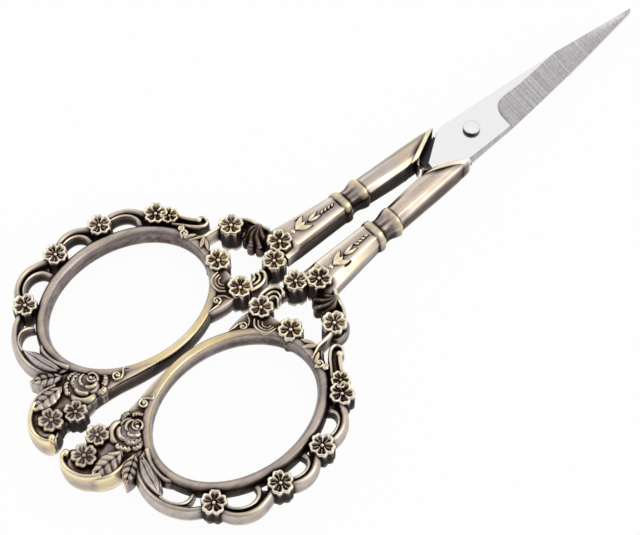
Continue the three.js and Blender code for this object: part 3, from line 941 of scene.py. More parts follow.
@dataclass
class CastHandle:
    """A cast handle: finger ring, scalloped border, flowers, rose, leaves, wreath, shank, collar and socket."""

    top: float = 2.66
    axis_gap: float = 0.4
    ring_x: float = -62.9
    ring_length: float = 27.4
    ring_breadth: float = 21.1
    ring_band: float = 2.15
    ring_band_axis: float = 1.65
    ring_half: float = 1.85
    ring_rise: float = 0.33
    flower: float = 1.95
    flower_base: float = -1.3
    flower_back: float = -1.6
    flower_standoff: float = 1.72
    border_angles: tuple[float, ...] = (137.6, 101.6, 72.3, 39.6)
    scallop_crests: tuple[float, ...] = (3.95, 3.2, 2.95)
    scallop_base: float = -0.8
    scallop_floor: float = 1.15
    mouth_angle: float = 24.5
    mouth_distance: float = 5.75
    socket_start: float = -21.2
    socket_width: float = 3.7
    socket_high: float = 2.44
    socket_lean: float = 0.0592
    socket_rows: int = 14
    lip_rows: int = 12
    ring_rows: int = 200
    ring_columns: int = 36
    flower_columns: int = 70
    strand_columns: int = 20
    bead_columns: int = 20
    plate_columns: int = 64
    strip_rows: int = 30
    petal_rows: int = 30
    crease: float = 42.0

    def __post_init__(self) -> None:
        """Works out the ring's outer ellipse and starts an empty shell."""
        mean = (self.ring_band + self.ring_band_axis) / 2
        self.axes = np.array([self.ring_length, self.ring_breadth]) / 2 + mean
        self.centre = np.array([self.ring_x, self.axis_gap + self.axes[1]])
        self.shell = Shell()

    def on_ring(self, degrees: Any, standoff: Any) -> Array:
        """Finds points at angles round the ring, past its outer edge and square to it.

        Args:
            degrees: The angle or angles.
            standoff: Distance past the edge, for all points or for each.

        Returns:
            One point for each angle.
        """
        way = unit(degrees)
        normal = way * self.axes[::-1]
        normal = normal / np.linalg.norm(normal, axis=-1, keepdims=True)
        return self.centre + way * self.axes + normal * np.asarray(standoff)[..., None]

    def finger_ring(self) -> None:
        """Finger ring: an oval section, flatter and thinner beside the other ring, carried round an ellipse."""
        angle = np.linspace(0, 360, self.ring_rows, endpoint=False)
        beside = (1 - np.sin(np.radians(angle))) / 2
        band = self.ring_band + (self.ring_band_axis - self.ring_band) * beside
        path = self.on_ring(angle, -band / 2)
        t = np.linspace(0, 2 * np.pi, self.ring_columns, endpoint=False)
        c, s = np.cos(t), np.sin(t)
        square = (0.9 - 0.35 * beside**2)[:, None]
        rise = self.ring_rise + self.ring_half * np.sign(s) * np.abs(s) ** square
        section = np.stack([0.5 * np.sign(c) * np.abs(c) ** square, rise], axis=2)
        # Painted light and shade: the side towards the hole is painted lighter and the outer side darker, as shade
        # falls between ring and border.
        sides = np.where(c > 0, 0.13, -0.08) * np.abs(c)
        flats = (0.16 - 0.24 * beside**3)[:, None] * np.abs(s)
        tone = sides - 0.03 - flats
        # Painted highlight: a bright streak along the top of the band, raising the tone away from the other ring
        # and the gild all round.
        crest = np.exp(-(((t - 0.55 * np.pi) / 0.42) ** 2))
        tone += 0.09 * crest * (1 - beside)[:, None]
        self.shell.gild = (0.2 + 0.45 * beside**2)[:, None] + 0.5 * crest
        self.shell.add(sweep(path, section, width=band, closed=True), loop=True, shine=tone)

    def blossom(
        self, at: Any, radius: float, turn: float, both: bool = False, depth: float = 0.7, shine: float = 0.0
    ) -> None:
        """Flower of five notched petals round a bead.

        The face is a height over radius and angle: a bead, a ribbed bowl and a wavy rim that rolls over.

        Args:
            at: Middle of the flower.
            radius: Reach of the petals.
            turn: Angle of the first gap between petals in degrees.
            both: Whether the back has the same flower; otherwise it is a low dome.
            depth: Depth of the bowl.
            shine: Extra wear.
        """
        petals = 5
        angle = np.linspace(0, 2 * np.pi, self.flower_columns, endpoint=False)
        way = np.stack([np.cos(angle), np.sin(angle)], axis=1)
        gap = 0.5 + 0.5 * np.cos(petals * (angle - math.radians(turn)))
        wave = 0.5 + 0.5 * np.cos(2 * petals * (angle - math.radians(turn)))
        outline = radius * (1.05 - 0.07 * wave**1.5 - 0.13 * gap**2)
        bead_end = 0.19
        rounds = ([0.02, 0.08, 0.13, 0.17, bead_end], np.linspace(0.22, 0.88, 12), [0.92, 0.96, 0.98, 1.0])
        rho = np.concatenate(rounds)[:, None]
        bead = 0.7 * depth * np.sqrt(np.clip(1 - (rho / bead_end) ** 2, 0, 1))
        rib = (0.8 * gap**3 + 0.4 * wave**3 * (1 - gap)) * ease(0.16, 0.34, rho)
        bowl = -depth * (1 - ease(0.6, 0.88, rho)) * (1 - rib)
        split = -0.25 * gap**6 * ease(0.66, 0.9, rho)
        lip = -0.2 * ease(0.92, 1.0, rho) ** 2
        face = plane(at + (rho * outline)[..., None] * way, self.top + bead + bowl + split + lip)
        walls = np.array([0.92, 0.8, 0.4, 0.0])[:, None]
        sides = np.repeat(face[-1:, :, :2], len(walls), axis=0)
        wall = plane(sides, self.flower_base + (face[-1, :, 2] - self.flower_base) * walls)
        if both:
            back = face[::-1] * [1, 1, -1]
        else:
            inner = np.array([0.96, 0.8, 0.5, 0.05])[:, None]
            back = plane(at + (inner * outline)[..., None] * way, self.flower_back + 0.3 * inner**6)
        front = 0.2 - 0.1 * ease(0.75, 0.95, rho[:, 0])
        rear = front[::-1] if both else np.zeros(len(back))
        tone = np.concatenate([front, [-0.06, -0.2, -0.27, -0.25], rear])
        self.shell.add(np.concatenate([face, wall, back]), shine=tone + shine)

    def strand(
        self,
        points: Sequence[Any],
        width: float = 0.8,
        high: float = 2.1,
        low: float = -1.2,
        ends: tuple[float, float] = (1.0, 1.0),
        shine: float = 0.0,
        tip: float | None = None,
        bulge: float = 0.0,
    ) -> None:
        """Strand with a rounded ridge along its front and full sides: a section carried along a smooth path.

        Args:
            points: Path of the strand.
            width: Width of the strand.
            high: Height of the ridge.
            low: Height of the back.
            ends: Scale of the width at the start and the end of the path.
            shine: Extra brightness, from wear and from painted shade.
            tip: Height of the ridge at the end of the path, where it differs.
            bulge: How far the side to the right of the path swells out.
        """
        w = width / 2
        crown = min(1.5 * w, (high - low) * 0.45)
        right = [
            [0.86 * w, low + 0.15],
            [w, (high + low) / 2],
            [0.95 * w, high - crown],
            [0.62 * w, high - 0.3 * crown],
        ]
        left = [[-x, z] for x, z in right[::-1]]
        section = spline([*right, [0, high], *left, [0, low]], self.strand_columns, closed=True)
        swell = np.sin(np.pi * np.clip((section[:, 1] - low) / (high - low), 0, 1))
        section[:, 0] -= bulge * swell * (section[:, 0] < 0)
        path = spline(points, 5 * len(points) + 8)
        t = np.linspace(0, 1, len(path))
        grid = sweep(path, section, np.interp(t, [0, 0.5, 1], [ends[0], 1, ends[1]]))
        if tip is not None:
            grid[..., 2] = low + (grid[..., 2] - low) * (1 + (tip - high) / (high - low) * t**2)[:, None]
        self.shell.add(grid, shine=shine)

    def bead(self, at: Any, radius: float, high: float, low: float = 0.0, shine: float | Array = 0.0) -> None:
        """Round-topped bead: part of a sphere down to its widest round, then an upright side.

        Args:
            at: Middle of the bead.
            radius: Radius of the bead.
            high: Height of its top.
            low: Height of its foot.
            shine: Extra brightness, from wear and from painted shade, for all of it or for each round from the top
                down.
        """
        rounds = 7
        falls = np.array([0.25, 0.7, 1.0])
        t = np.concatenate([np.linspace(0.05, 0.5, rounds), [0.5] * len(falls)]) * np.pi
        turn = unit(np.linspace(0, 360, self.bead_columns, endpoint=False))
        side = high - radius
        z = np.concatenate([side + radius * np.cos(t[:rounds]), side + (low - side) * falls])
        self.shell.add(plane(np.asarray(at) + (radius * np.sin(t))[:, None, None] * turn, z[:, None]), shine=shine)

    def plate(self, outline: Sequence[Any], high: float, low: float, shine: float = 0.0) -> None:
        """Plate with a smooth outline: the outline drawn in towards its middle, above and below.

        Args:
            outline: Points of the outline.
            high: Height of the front.
            low: Height of the back.
            shine: Extra wear.
        """
        edge = spline(outline, self.plate_columns, closed=True)
        middle = edge.mean(axis=0)
        reach = np.array([0.02, 0.3, 0.6, 0.85, 0.96, 1.0, 1.0, 1.0, 0.95, 0.5, 0.02])
        z = np.array([high] * 5 + [high - 0.12, (high + low) / 2, low + 0.2, low, low, low])
        self.shell.add(plane(middle + (edge - middle) * reach[:, None, None], z[:, None]), shine=shine)

    def strip(
        self,
        first: Sequence[Any],
        second: Sequence[Any],
        high: float,
        low: float,
        shine: float = 0.0,
        fall: float = 0.0,
        wall: float = 0.0,
    ) -> None:
        """Strip ruled between two paths, with rounded edges.

        Args:
            first: Path of one edge.
            second: Path of the other edge.
            high: Height of the front.
            low: Height of the back.
            shine: Extra wear.
            fall: How far the end of the strip lies below its start.
            wall: Extra brightness of its side walls at its start, fading along the strip.
        """
        a, b = (spline(path, self.strip_rows)[:, None] for path in (first, second))
        share = np.linspace(0.0, 1.0, 13)
        edge = 0.3 * (1 - ease(0.0, 0.1, np.minimum(share, 1 - share)))
        along = np.linspace(0.0, 1.0, len(a))[:, None]
        drop = fall * (along**2 + 0.3 * (1 - ease(0.0, 0.3, along)))
        z = high - edge - drop
        down = np.array([0.85, 0.5, 0.15, 0.0])
        right, left = (low + (z[:, [side]] - low) * way for side, way in ((-1, down), (0, down[::-1])))
        z = np.concatenate([z, right, np.full((len(a), 1), low), left], axis=1)
        sides = np.append(0 * share, np.ones(2 * len(down) + 1))
        share = np.concatenate([share, [1.0] * len(down), [0.5], [0.0] * len(down)])[:, None]
        grid = plane(a * (1 - share) + b * share, z)
        rows = np.array([0, 0, *range(len(grid)), -1, -1])
        part = np.array([0.4, 0.85, *np.ones(len(grid)), 0.85, 0.4])[:, None]
        grid = grid[rows]
        grid[..., 2] = low + 0.1 * (1 - part) + (grid[..., 2] - low) * part
        fade = np.linspace(1.0, 0.0, len(grid))[:, None]
        self.shell.add(grid, shine=shine + wall * fade * sides)

    def leaf(
        self,
        at: Any,
        degrees: float,
        length: float,
        width: float,
        high: float,
        ribs: int = 5,
        low: float = -1.1,
        droop: float = 0.0,
        shine: float = 0.0,
        midrib: float = 0.2,
        lean: float = 0.0,
    ) -> None:
        """Pointed leaf: a crowned height over length and breadth, cut by a midrib and by slanted side veins.

        Args:
            at: Middle of the leaf.
            degrees: Direction of its tip.
            length: Length from base to tip.
            width: Greatest width.
            high: Height of its crown.
            ribs: Number of fields between side veins.
            low: Height of its back.
            droop: How far the tip hangs below the base.
            shine: Extra wear.
            midrib: Depth of the groove along its middle.
            lean: How much brighter its left half is than its middle and its right half darker; its right edge also
                drops by 2.4 times this in millimetres.
        """
        skew, point = 0.9, 0.75
        u = 0.5 - 0.498 * np.cos(np.linspace(0.0, np.pi, 14 + 9 * ribs))[:, None]
        v = np.linspace(-1.0, 1.0, 13)[None]
        reach = np.abs(np.sin(np.pi * u**skew)) ** point * width / 2
        vein = (0.5 + 0.5 * np.cos(2 * np.pi * (ribs * u - 0.55 * np.abs(v)))) ** 4 if ribs else 0 * u
        inside = 1 - np.abs(v) ** 8
        cut = (midrib * np.exp(-((v / 0.14) ** 2)) + 0.2 * vein) * inside
        z = high - 0.42 * np.abs(v) ** 3 - cut + 1.2 * lean * (v - 1) - droop * u**1.5
        way = unit(degrees)
        side = np.array([-way[1], way[0]])
        s = (u - 0.5) * length + 0 * v
        flat = np.asarray(at) + s[..., None] * way + (reach * v * (1 - 0.07 * vein))[..., None] * side
        face = plane(flat, z)
        back = plane(flat[:, ::-1], low + 0.3 * v**2 + 0 * u)
        tone = shine + lean * np.concatenate([v, v[:, ::-1]], axis=1) + 0 * u
        self.shell.add(np.concatenate([face, back], axis=1), shine=tone)

    def arch(self, points: Sequence[Any], inner: Sequence[Any]) -> None:
        """One scallop: a rounded outer strand, an inner strand that broadens towards the ring, and a sunk strip.

        Args:
            points: Path of the outer strand.
            inner: Path of the inner strand.
        """
        self.strand(points, 1.3, 2.2, self.scallop_base, shine=-0.1)
        self.strand(inner, 0.55, 2.25, self.scallop_base + 0.1, (0.9, 2.1), -0.1, tip=1.2)
        self.strip(points, inner[: len(points)], self.scallop_floor, self.scallop_base + 0.1, -0.14)

    def border(self) -> None:
        """Scalloped border: lopsided arches between flowers, each with a strand that curls back to the ring."""
        outer = [(0.0, 0.5), (0.10, 0.73), (0.25, 0.95), (0.42, 1.03), (0.58, 0.96), (0.74, 0.74), (0.88, 0.48)]
        inner = [(0.03, 0.28), (0.12, 0.50), (0.26, 0.70), (0.41, 0.76)]
        inner += [(0.55, 0.68), (0.655, 0.46), (0.695, 0.2), (0.69, -0.1)]
        for i, crest in enumerate(self.scallop_crests):
            first, second = self.border_angles[i : i + 2]
            paths = (
                [self.on_ring(first + (second - first) * u, rise * crest) for u, rise in side]
                for side in (outer, inner)
            )
            self.arch(*paths)
        for i, angle in enumerate(self.border_angles):
            self.blossom(self.on_ring(angle, self.flower_standoff), self.flower, angle + 14.0 * i, shine=-0.05)

    def leaf_band(self) -> None:
        """Leaves that sweep from the rose cluster to the first border flower, round a small opening."""
        outer = [(-79.2, 9.6), (-80.6, 11.4), (-81.3, 13.9), (-81.2, 16.4)]
        outer += [(-80.4, 18.7), (-78.9, 20.7), (-77.2, 21.9)]
        self.strand(outer, 1.5, 2.05, -1.15, (1.0, 0.8), -0.1)
        inner = [(-80.7, 16.4), (-80.45, 17.6), (-79.8, 18.7), (-78.8, 19.4), (-77.7, 19.5), (-76.6, 19.0)]
        self.strand(inner, 0.6, 2.15, -1.0, (0.8, 1.3), -0.06, tip=1.2)
        web = [(-76.4, 8.8), (-77.4, 11.0), (-78.2, 13.2), (-79.2, 15.1)]
        self.strip(outer[:4], web, 1.85, -1.0)
        self.leaf((-79.8, 13.1), 104, 6.6, 2.3, 2.35, ribs=0, low=-0.9, shine=-0.04, midrib=0.14)
        self.leaf((-79.25, 12.4), 106, 5.2, 1.2, 2.42, ribs=0, low=-0.9, shine=-0.04, midrib=0.1)
        self.shell.gild = 0.3
        stalk = [(-77.2, 9.3), (-78.2, 11.3), (-78.5, 13.2), (-78.25, 14.7), (-77.4, 15.8)]
        self.strand(stalk, 1.2, 2.4, -0.8, (1.1, 0.8), -0.04, tip=1.7)

    def petal(
        self, at: Any, reach: float, degrees: float, spread: float, high: float, width: float, ruffle: float
    ) -> None:
        """Cupped rose petal: a leaning wall carried along an arc, drawn out thin at both ends.

        The folds are a cosine along the arc, which starts elsewhere on petals that point elsewhere.

        Args:
            at: Middle of the arc.
            reach: Radius of the arc.
            degrees: Direction of the petal's middle.
            spread: Angle that the petal covers.
            high: Height of its rim.
            width: Thickness of the petal seen from above.
            ruffle: Depth of the folds along its rim.
        """
        t = np.linspace(-1, 1, self.petal_rows)
        fold = ruffle * np.cos(4 * np.pi * t + degrees)
        bow = 1 - 0.10 * t**2 + 0.4 * fold
        path = np.asarray(at) + reach * bow[:, None] * unit(degrees + spread / 2 * t)
        corners = [[0.30, -0.6], [0.32, high - 0.75], [0.14, high - 0.1], [-0.05, high], [-0.3, high - 0.12]]
        corners += [[-0.52, high - 0.42], [-0.6, high - 1.0], [-0.5, -0.6]]
        section = spline(np.array(corners) * [width, 1], self.strand_columns, closed=True)
        grid = sweep(path, section, 1 - 0.5 * np.abs(t) ** 5)
        grid[..., 2] -= (0.35 * np.abs(t) ** 4 + fold + ruffle)[:, None]
        self.shell.add(grid, shine=-0.05)

    def rose(self, bud: Any) -> None:
        """Rose that opens to one side: smooth and ruffled petals in rounds, each round further from the bud.

        Args:
            bud: Middle of the bud.
        """
        for reach, high in ((2.5, 1.95), (1.6, 2.25)):
            self.plate(octagon(np.asarray(bud) - [1.6, 0.0], reach), high, -1.5)
        self.bead(np.asarray(bud) + [-0.14, 0.12], 0.36, 2.58, 0.5)
        rounds = [
            (0.36, 285, 150, 2.66, 0.36, 0.0),
            (0.70, 215, 200, 2.68, 0.6, 0.0),
            (0.74, 35, 160, 2.6, 0.55, 0.0),
            (1.25, 252, 120, 2.64, 0.95, 0.0),
            (1.3, 140, 115, 2.66, 0.9, 0.05),
            (1.2, 350, 110, 2.5, 0.75, 0.0),
            (1.85, 204, 84, 2.56, 1.05, 0.0),
            (1.9, 282, 70, 2.45, 0.9, 0.0),
            (1.95, 122, 84, 2.5, 1.1, 0.09),
            (2.5, 232, 100, 2.45, 1.4, 0.0),
            (2.55, 152, 62, 2.4, 1.1, 0.09),
            (2.6, 96, 50, 2.3, 1.0, 0.07),
        ]
        for reach, degrees, spread, high, width, ruffle in rounds:
            centre = np.asarray(bud) - [0.95 * max(reach - 0.7, 0.0), 0.0]
            self.petal(centre, reach, degrees, spread, high, width, ruffle)
        for reach, degrees, spread in ((2.05, 306, 58), (2.6, 266, 36)):
            self.petal(bud, reach, degrees, spread, 2.45, 1.2, 0.09)

    def cluster(self) -> None:
        """End cluster: neck, rose, flowers, ribbed leaves and a hooked rim round a sunk panel."""
        neck = [(-64.0, 0.62), (-67.5, 0.95), (-70.5, 1.4), (-73.2, 2.0)]
        neck += [(-75.8, 2.35), (-78.0, 2.5), (-80.7, 2.9)]
        bay = [self.on_ring(angle, -1.0) for angle in (266.0, 254.0, 242.0, 231.0, 221.0, 212.0, 203.0)]
        self.strip(neck, bay, 2.2, -1.5, 0.01, fall=0.8, wall=-0.12)
        hook = [(-84.8, 7.9), (-86.1, 7.15), (-87.2, 6.0), (-87.85, 4.4)]
        hook += [(-87.85, 2.9), (-87.3, 1.75), (-86.6, 1.5)]
        self.shell.gild = 0.95
        self.strand(hook, 0.9, 2.55, -2.6, (0.9, 0.7), 0.3, bulge=0.17)
        self.bead((-86.45, 1.65), 0.6, 2.64, -2.2, np.array([0.2] * 6 + [0.0, -0.2, -0.3, -0.3]))
        self.strand([(-86.4, 1.6), (-85.7, 1.7), (-84.9, 2.3)], 0.9, 1.7, -2.4, shine=-0.3)
        self.shell.gild = 0.2
        floor = [(-77.0, 3.2), (-79.5, 2.2), (-82.4, 2.2), (-84.6, 2.6), (-86.4, 2.4), (-87.4, 3.4)]
        floor += [(-87.2, 5.4), (-86.0, 7.2), (-84.0, 8.3), (-81.5, 9.2), (-78.6, 9.2), (-76.6, 7.4)]
        self.plate(floor, 1.65, -1.75, 0.07)
        back = [(-72.6, 2.4), (-75.8, 2.8), (-79.0, 3.1), (-80.5, 5.4)]
        back += [(-79.2, 8.6), (-76.8, 8.7), (-75.2, 7.0), (-73.4, 4.4)]
        self.plate(back, 1.0, -1.7)
        flank = [(-80.6, 8.6), (-82.2, 8.8), (-83.7, 8.7), (-85.1, 8.1), (-86.2, 7.1)]
        self.shell.gild = 0.8
        self.strand(flank[::-1], 1.1, 1.95, -2.4, shine=0.26)
        self.shell.gild = 0.4
        self.rose((-75.85, 5.45))
        self.blossom((-81.25, 2.6), 1.8, 10, depth=0.33, shine=-0.24)
        self.blossom((-84.8, 3.95), 1.95, 40, depth=0.28, shine=-0.26)
        self.leaf((-83.2, 7.3), 180, 6.0, 2.9, 2.69, low=-1.2, shine=-0.05, lean=0.12)
        self.leaf((-81.1, 10.15), 147, 5.0, 2.5, 2.5, low=-1.4, droop=0.4, shine=-0.14, lean=0.06)
        self.strand([(-70.6, 3.0), (-71.3, 3.5), (-71.9, 2.85), (-72.6, 2.45)], 0.45, 2.5, 1.0, (0.6, 1), 0.1)
        self.curl((-72.8, 3.2), 0.78, 285, 2.55)

    def curl(self, at: Any, radius: float, start: float, high: float = 2.3, turns: float = -1.15) -> None:
        """Small spiral strand that winds in to a bead.

        Args:
            at: Middle of the spiral.
            radius: Distance at which it starts.
            start: Angle at which it starts, in degrees.
            high: Height of its ridge.
            turns: Number of turns, counted to the left.
        """
        t = np.linspace(0, 1, 12)
        path = np.asarray(at) + (radius * (1 - 0.62 * t))[:, None] * unit(start + 360 * turns * t)
        self.strand(path[::2], 0.4, high, 0.0, shine=0.08)
        self.bead(at, 0.26, high, shine=0.08)

    def wreath(self) -> None:
        """Wreath of flowers between ring and shank, with shells, links and a rim."""
        outer, ring, axis = (-42.2, 12.2), (-48.0, 8.55), (-48.75, 2.45)
        root, shank = (-41.55, 2.55), (-38.5, 4.65)
        for path in ([axis, (-45.4, 1.9), root], [root, shank], [(-39.2, 6.5), (-40.2, 8.6), (-41.4, 10.2)]):
            self.strand(path, 1.9, 1.3, -1.4, shine=-0.12)
        near = [self.on_ring(angle, off) for angle, off in ((-14, -0.9), (-30, -1.2), (-46, -1.2), (-62, -0.8))]
        web = [near[-1], (-52.4, 1.6), (-49.4, 2.2), (-48.4, 5.0), (-48.2, 8.0), *near[:-1]]
        self.plate(web, 1.95, -1.4, -0.1)
        rim = [(-39.9, 11.2), (-40.3, 13.0), (-41.6, 14.0), (-43.1, 14.1), (-44.2, 13.2)]
        self.strand(rim, 0.9, 0.9, -1.5, shine=0.04)
        strap = [(-40.8, 12.4), (-39.8, 11.8), (-39.15, 10.8), (-38.85, 9.6), (-38.5, 8.6), (-38.0, 7.7)]
        self.strand(strap, 0.8, 2.2, -1.4, (0.8, 1.1))
        bottom = [(-47.9, 0.95), (-46.9, 0.7), (-45.7, 0.68), (-44.7, 1.1), (-44.15, 1.9), (-44.35, 2.75)]
        self.strand(bottom, 0.72, 2.45, -1.3, (1.0, 0.8), 0.06)
        nested = (
            [(-47.6, 1.65), (-46.6, 1.4), (-45.6, 1.5), (-45.05, 2.05), (-45.1, 2.9)],
            [(-47.2, 2.3), (-46.4, 2.1), (-45.8, 2.4), (-45.75, 3.1)],
        )
        for path in nested:
            self.strand(path, 0.66, 2.3, -1.2, (1.0, 0.7), -0.06)
        hub = np.array([-38.6, 9.1])
        self.plate(octagon(hub - [1.0, 0.4], 1.7), 0.6, -1.65)
        # Painted shade: the fan's lobes are made dark, and the beads at their tips darker still.
        for degrees, length in ((172, 2.9), (197, 3.4), (221, 3.4), (245, 2.9)):
            lobe = [hub, hub + 0.55 * length * unit(degrees - 12), hub + length * unit(degrees + 4)]
            self.strand(lobe, 1.6, 2.3, -1.5, (0.6, 0.85), -0.31, tip=1.3)
            self.bead(lobe[-1], 0.68, 1.3, -1.4, -0.65)
        for i in range(3):
            grow = 1 - 0.3 * i
            shell = np.array([(-1.0, -1.9), (-1.75, -1.0), (-1.75, 0.3), (-1.0, 1.35), (0.35, 1.6)]) * grow
            self.strand(shell + [-49.9, 5.3], 0.72, 2.4 - 0.1 * i, 0.0, (0.7, 0.6), -0.03)
        flowers = ((outer, 2.0, 12), (ring, 2.0, 30), (axis, 2.0, 5), (root, 1.9, 48), (shank, 2.05, 20))
        for at, radius, turn in flowers:
            self.blossom(np.array(at), radius, turn, both=at != ring)
        self.curl((-53.0, 3.1), 0.75, 250, turns=1.15)
        self.strand([(-55.3, 2.3), (-54.2, 2.35), (-53.3, 2.3)], 0.42, 2.25, 0.0, (0.4, 1))
        self.strand([(-52.4, 3.6), (-51.6, 3.0), (-51.2, 2.0)], 0.42, 2.25, 0.0, (1, 0.7))
        stem = [(-43.8, 13.2), (-45.2, 13.4), (-46.6, 13.5), (-47.8, 14.0), (-48.9, 14.5)]
        self.strand(stem, 0.8, 2.4, -1.2, (1.0, 0.6), 0.05)
        spray = [((-47.7, 12.75), 213, 2.4, 1.0), ((-47.5, 11.9), 240, 2.2, 0.9), ((-48.4, 15.0), 150, 2.0, 0.8)]
        for at, degrees, length, width in spray:
            self.leaf(at, degrees, length, width, 2.5, ribs=0, low=0.0, midrib=0.1)
        self.curl((-48.75, 15.95), 0.72, 200, 2.5)
        self.curl((-48.5, 17.1), 0.5, 20, 2.5)

    def scroll(self) -> None:
        """Scroll that ends the border beside the wreath: a crook whose eye meets a second stem."""
        self.blossom(np.array([-48.3, 20.2]), 1.5, 25)
        crook = [(-48.9, 18.9), (-47.9, 17.6), (-46.8, 16.2), (-45.6, 15.2)]
        crook += [(-44.6, 15.2), (-44.25, 16.1), (-44.8, 16.9)]
        self.strand(crook, 0.75, 2.25, -1.2, (0.8, 0.7))
        self.strand([(-47.3, 19.4), (-46.6, 18.4), (-45.8, 17.3), (-45.2, 16.7)], 0.8, 2.15, -1.2, (0.8, 1.0))
        self.bead((-45.2, 16.6), 0.5, 2.3, -0.8)
        stem = [(-48.0, 19.2), (-47.2, 18.4), (-46.4, 17.4), (-45.6, 16.6), (-45.2, 16.4), (-44.9, 16.4)]
        self.strip(crook[:6], stem, 1.2, -1.0, -0.02)
        self.strand([(-48.7, 18.4), (-48.3, 16.8), (-47.6, 15.2), (-46.8, 14.2)], 0.9, 1.5, -1.2)

    def shank(self) -> None:
        """Shank, bead, drawn-in neck, flange and socket as one loft of eight-sided sections.

        Sections turn rounder at the bead, neck and flange. The socket's last ones slant into the plane of the
        mouth, swell into its lip and turn back inside. Each row of the table has the place along the shank, the
        inner and outer side, the heights of the upright sides and of the flat, the widths of the inner and outer
        slope and the rounding of the corners.
        """
        table = np.array(
            [
                [-39.3, 1.64, 7.7, 1.2, 1.5, 0.65, 1.8, 0.14],
                [-37.5, 1.64, 7.5, 1.25, 1.7, 0.65, 1.75, 0.14],
                [-36.9, 1.64, 7.42, 1.32, 2.36, 0.6, 1.7, 0.14],
                [-26.8, 1.64, 6.05, 1.32, 2.36, 0.6, 0.8, 0.14],
                [-26.62, 1.5, 6.2, 1.2, 2.5, 0.9, 1.1, 0.5],
                [-26.4, 1.36, 6.34, 1.25, 2.64, 0.9, 1.1, 0.5],
                [-25.95, 1.3, 6.4, 1.25, 2.7, 0.9, 1.1, 0.5],
                [-25.5, 1.36, 6.34, 1.25, 2.64, 0.9, 1.1, 0.5],
                [-25.28, 1.6, 6.1, 1.15, 2.4, 0.9, 1.1, 0.4],
                [-25.1, 1.8, 5.85, 1.05, 2.15, 0.9, 1.0, 0.3],
                [-24.5, 1.95, 5.7, 1.0, 2.0, 0.8, 0.9, 0.3],
                [-23.8, 1.93, 5.7, 1.0, 2.0, 0.8, 0.9, 0.3],
                [-23.2, 1.8, 5.85, 1.05, 2.17, 0.8, 0.9, 0.3],
                [-22.6, 1.6, 6.06, 1.15, 2.46, 0.85, 1.0, 0.4],
                [-22.15, 1.48, 6.2, 1.2, 2.65, 0.9, 1.1, 0.5],
                [-21.85, 1.44, 6.24, 1.2, 2.7, 0.9, 1.1, 0.5],
                [-21.65, 1.5, 6.15, 1.2, 2.64, 0.9, 1.1, 0.5],
                [-21.5, 1.78, 5.7, 1.4, 2.45, 0.8, 1.0, 0.6],
                [-21.2, 1.84, 5.55, 1.5, 2.42, 0.8, 1.0, 0.3],
            ]
        )
        straight = np.linspace(-36.5, -27.0, 20)
        x = np.unique(np.concatenate([table[:, 0], straight]))
        inner, outer, wall, high, left, right, bend = (np.interp(x, table[:, 0], column) for column in table.T[1:])
        body = self.bar(inner, outer, wall, high, left, right, bend[:, None, None])
        grid = np.concatenate([np.broadcast_to(x[:, None, None], body.shape[:2] + (1,)), body], axis=2)
        grid = np.concatenate([grid, self.mouth()])
        self.shell.gild, shine = self.shank_wear_and_light(x, grid)
        self.shell.add(grid, shine=shine)

    def shank_wear_and_light(self, x: Array, grid: Array) -> tuple[Array, Array]:
        """Works out how the shank is rubbed, and where light and shade are painted on it.

        Dark lines run beside the bead and the flange. Glints along the neck and the inner slope are painted
        highlights. The socket's lip is bright, but for its outer side, and the hollow behind it is painted dark,
        as shade.

        Args:
            x: Places of the sections up to the socket.
            grid: Points of all sections.

        Returns:
            Gilding and extra brightness of each point, from wear and from painted light and shade.
        """
        body, socket, end = slice(None, len(x)), slice(len(x), -14), slice(-14, -5)
        groove, lip, hollow = slice(-14, -11), slice(-11, -5), slice(-5, None)
        tone = np.full(len(grid), 0.15)
        tone[body] = np.where((x > -26.7) & (x < -21.4), 0.06, 0.14)
        lines = [-27.0, -26.8, -26.5, -25.35, -25.15, -24.9, -21.6, -21.45, -21.25]
        tone[body] += np.interp(x, lines, [0.0, -0.3, 0.0, 0.0, -0.25, 0.0, 0.0, -0.32, 0.0])
        # The hollow behind the lip is painted near-black, as shade.
        tone[groove], tone[lip], tone[hollow] = -0.08, 0.16, -0.55
        low = grid[..., 1].min(axis=1, keepdims=True)
        part = (grid[..., 1] - low) / np.ptp(grid[..., 1], axis=1, keepdims=True)
        # Painted light and shade across each section: the inner wall, facing the gap between the handles, is
        # painted dark, and the slopes and outer wall lighter.
        places = [0.0, 0.02, 0.07, 0.2, 0.27, 0.7, 0.76, 0.95, 1.0]
        gains = [-0.28, -0.12, 0.14, 0.14, -0.05, -0.05, 0.06, 0.12, 0.12]
        # Painted highlights on the neck: bright glints on its faces with darker bands between.
        neck = np.zeros(len(grid))
        neck[body] = np.interp(x, [-25.2, -24.9, -23.2, -22.6], [0.0, 1.0, 1.0, 0.0])
        spots = [0.0, 0.15, 0.3, 0.45, 0.58, 0.7, 0.8, 1.0]
        glints = np.interp(part, spots, [-0.3, -0.3, -0.06, 0.14, -0.18, 0.14, -0.2, -0.15])
        shine = tone[:, None] + np.interp(part, places, gains) + glints * neck[:, None]
        # The socket's outer slope is painted darker, as shade.
        shine[socket] += np.interp(part[socket], [0.74, 0.8, 0.93, 0.98], [0.0, -0.17, -0.17, -0.21])
        rims = [-26.8, -26.6, -25.3, -25.0, -22.8, -22.3, -21.6, -21.4]
        gold = np.interp(x, rims, [0.25, 0.7, 0.7, 0.3, 0.3, 0.7, 0.7, 0.25])
        gold = np.concatenate([gold, np.full(self.socket_rows, 0.25), np.full(self.lip_rows, 0.75)])
        gild = gold[:, None] + 0 * part
        side = ease(0.9, 0.98, part[end])
        gild[end] -= 0.5 * side
        shine[end] -= (shine[end] + 0.02) * side
        return gild, shine

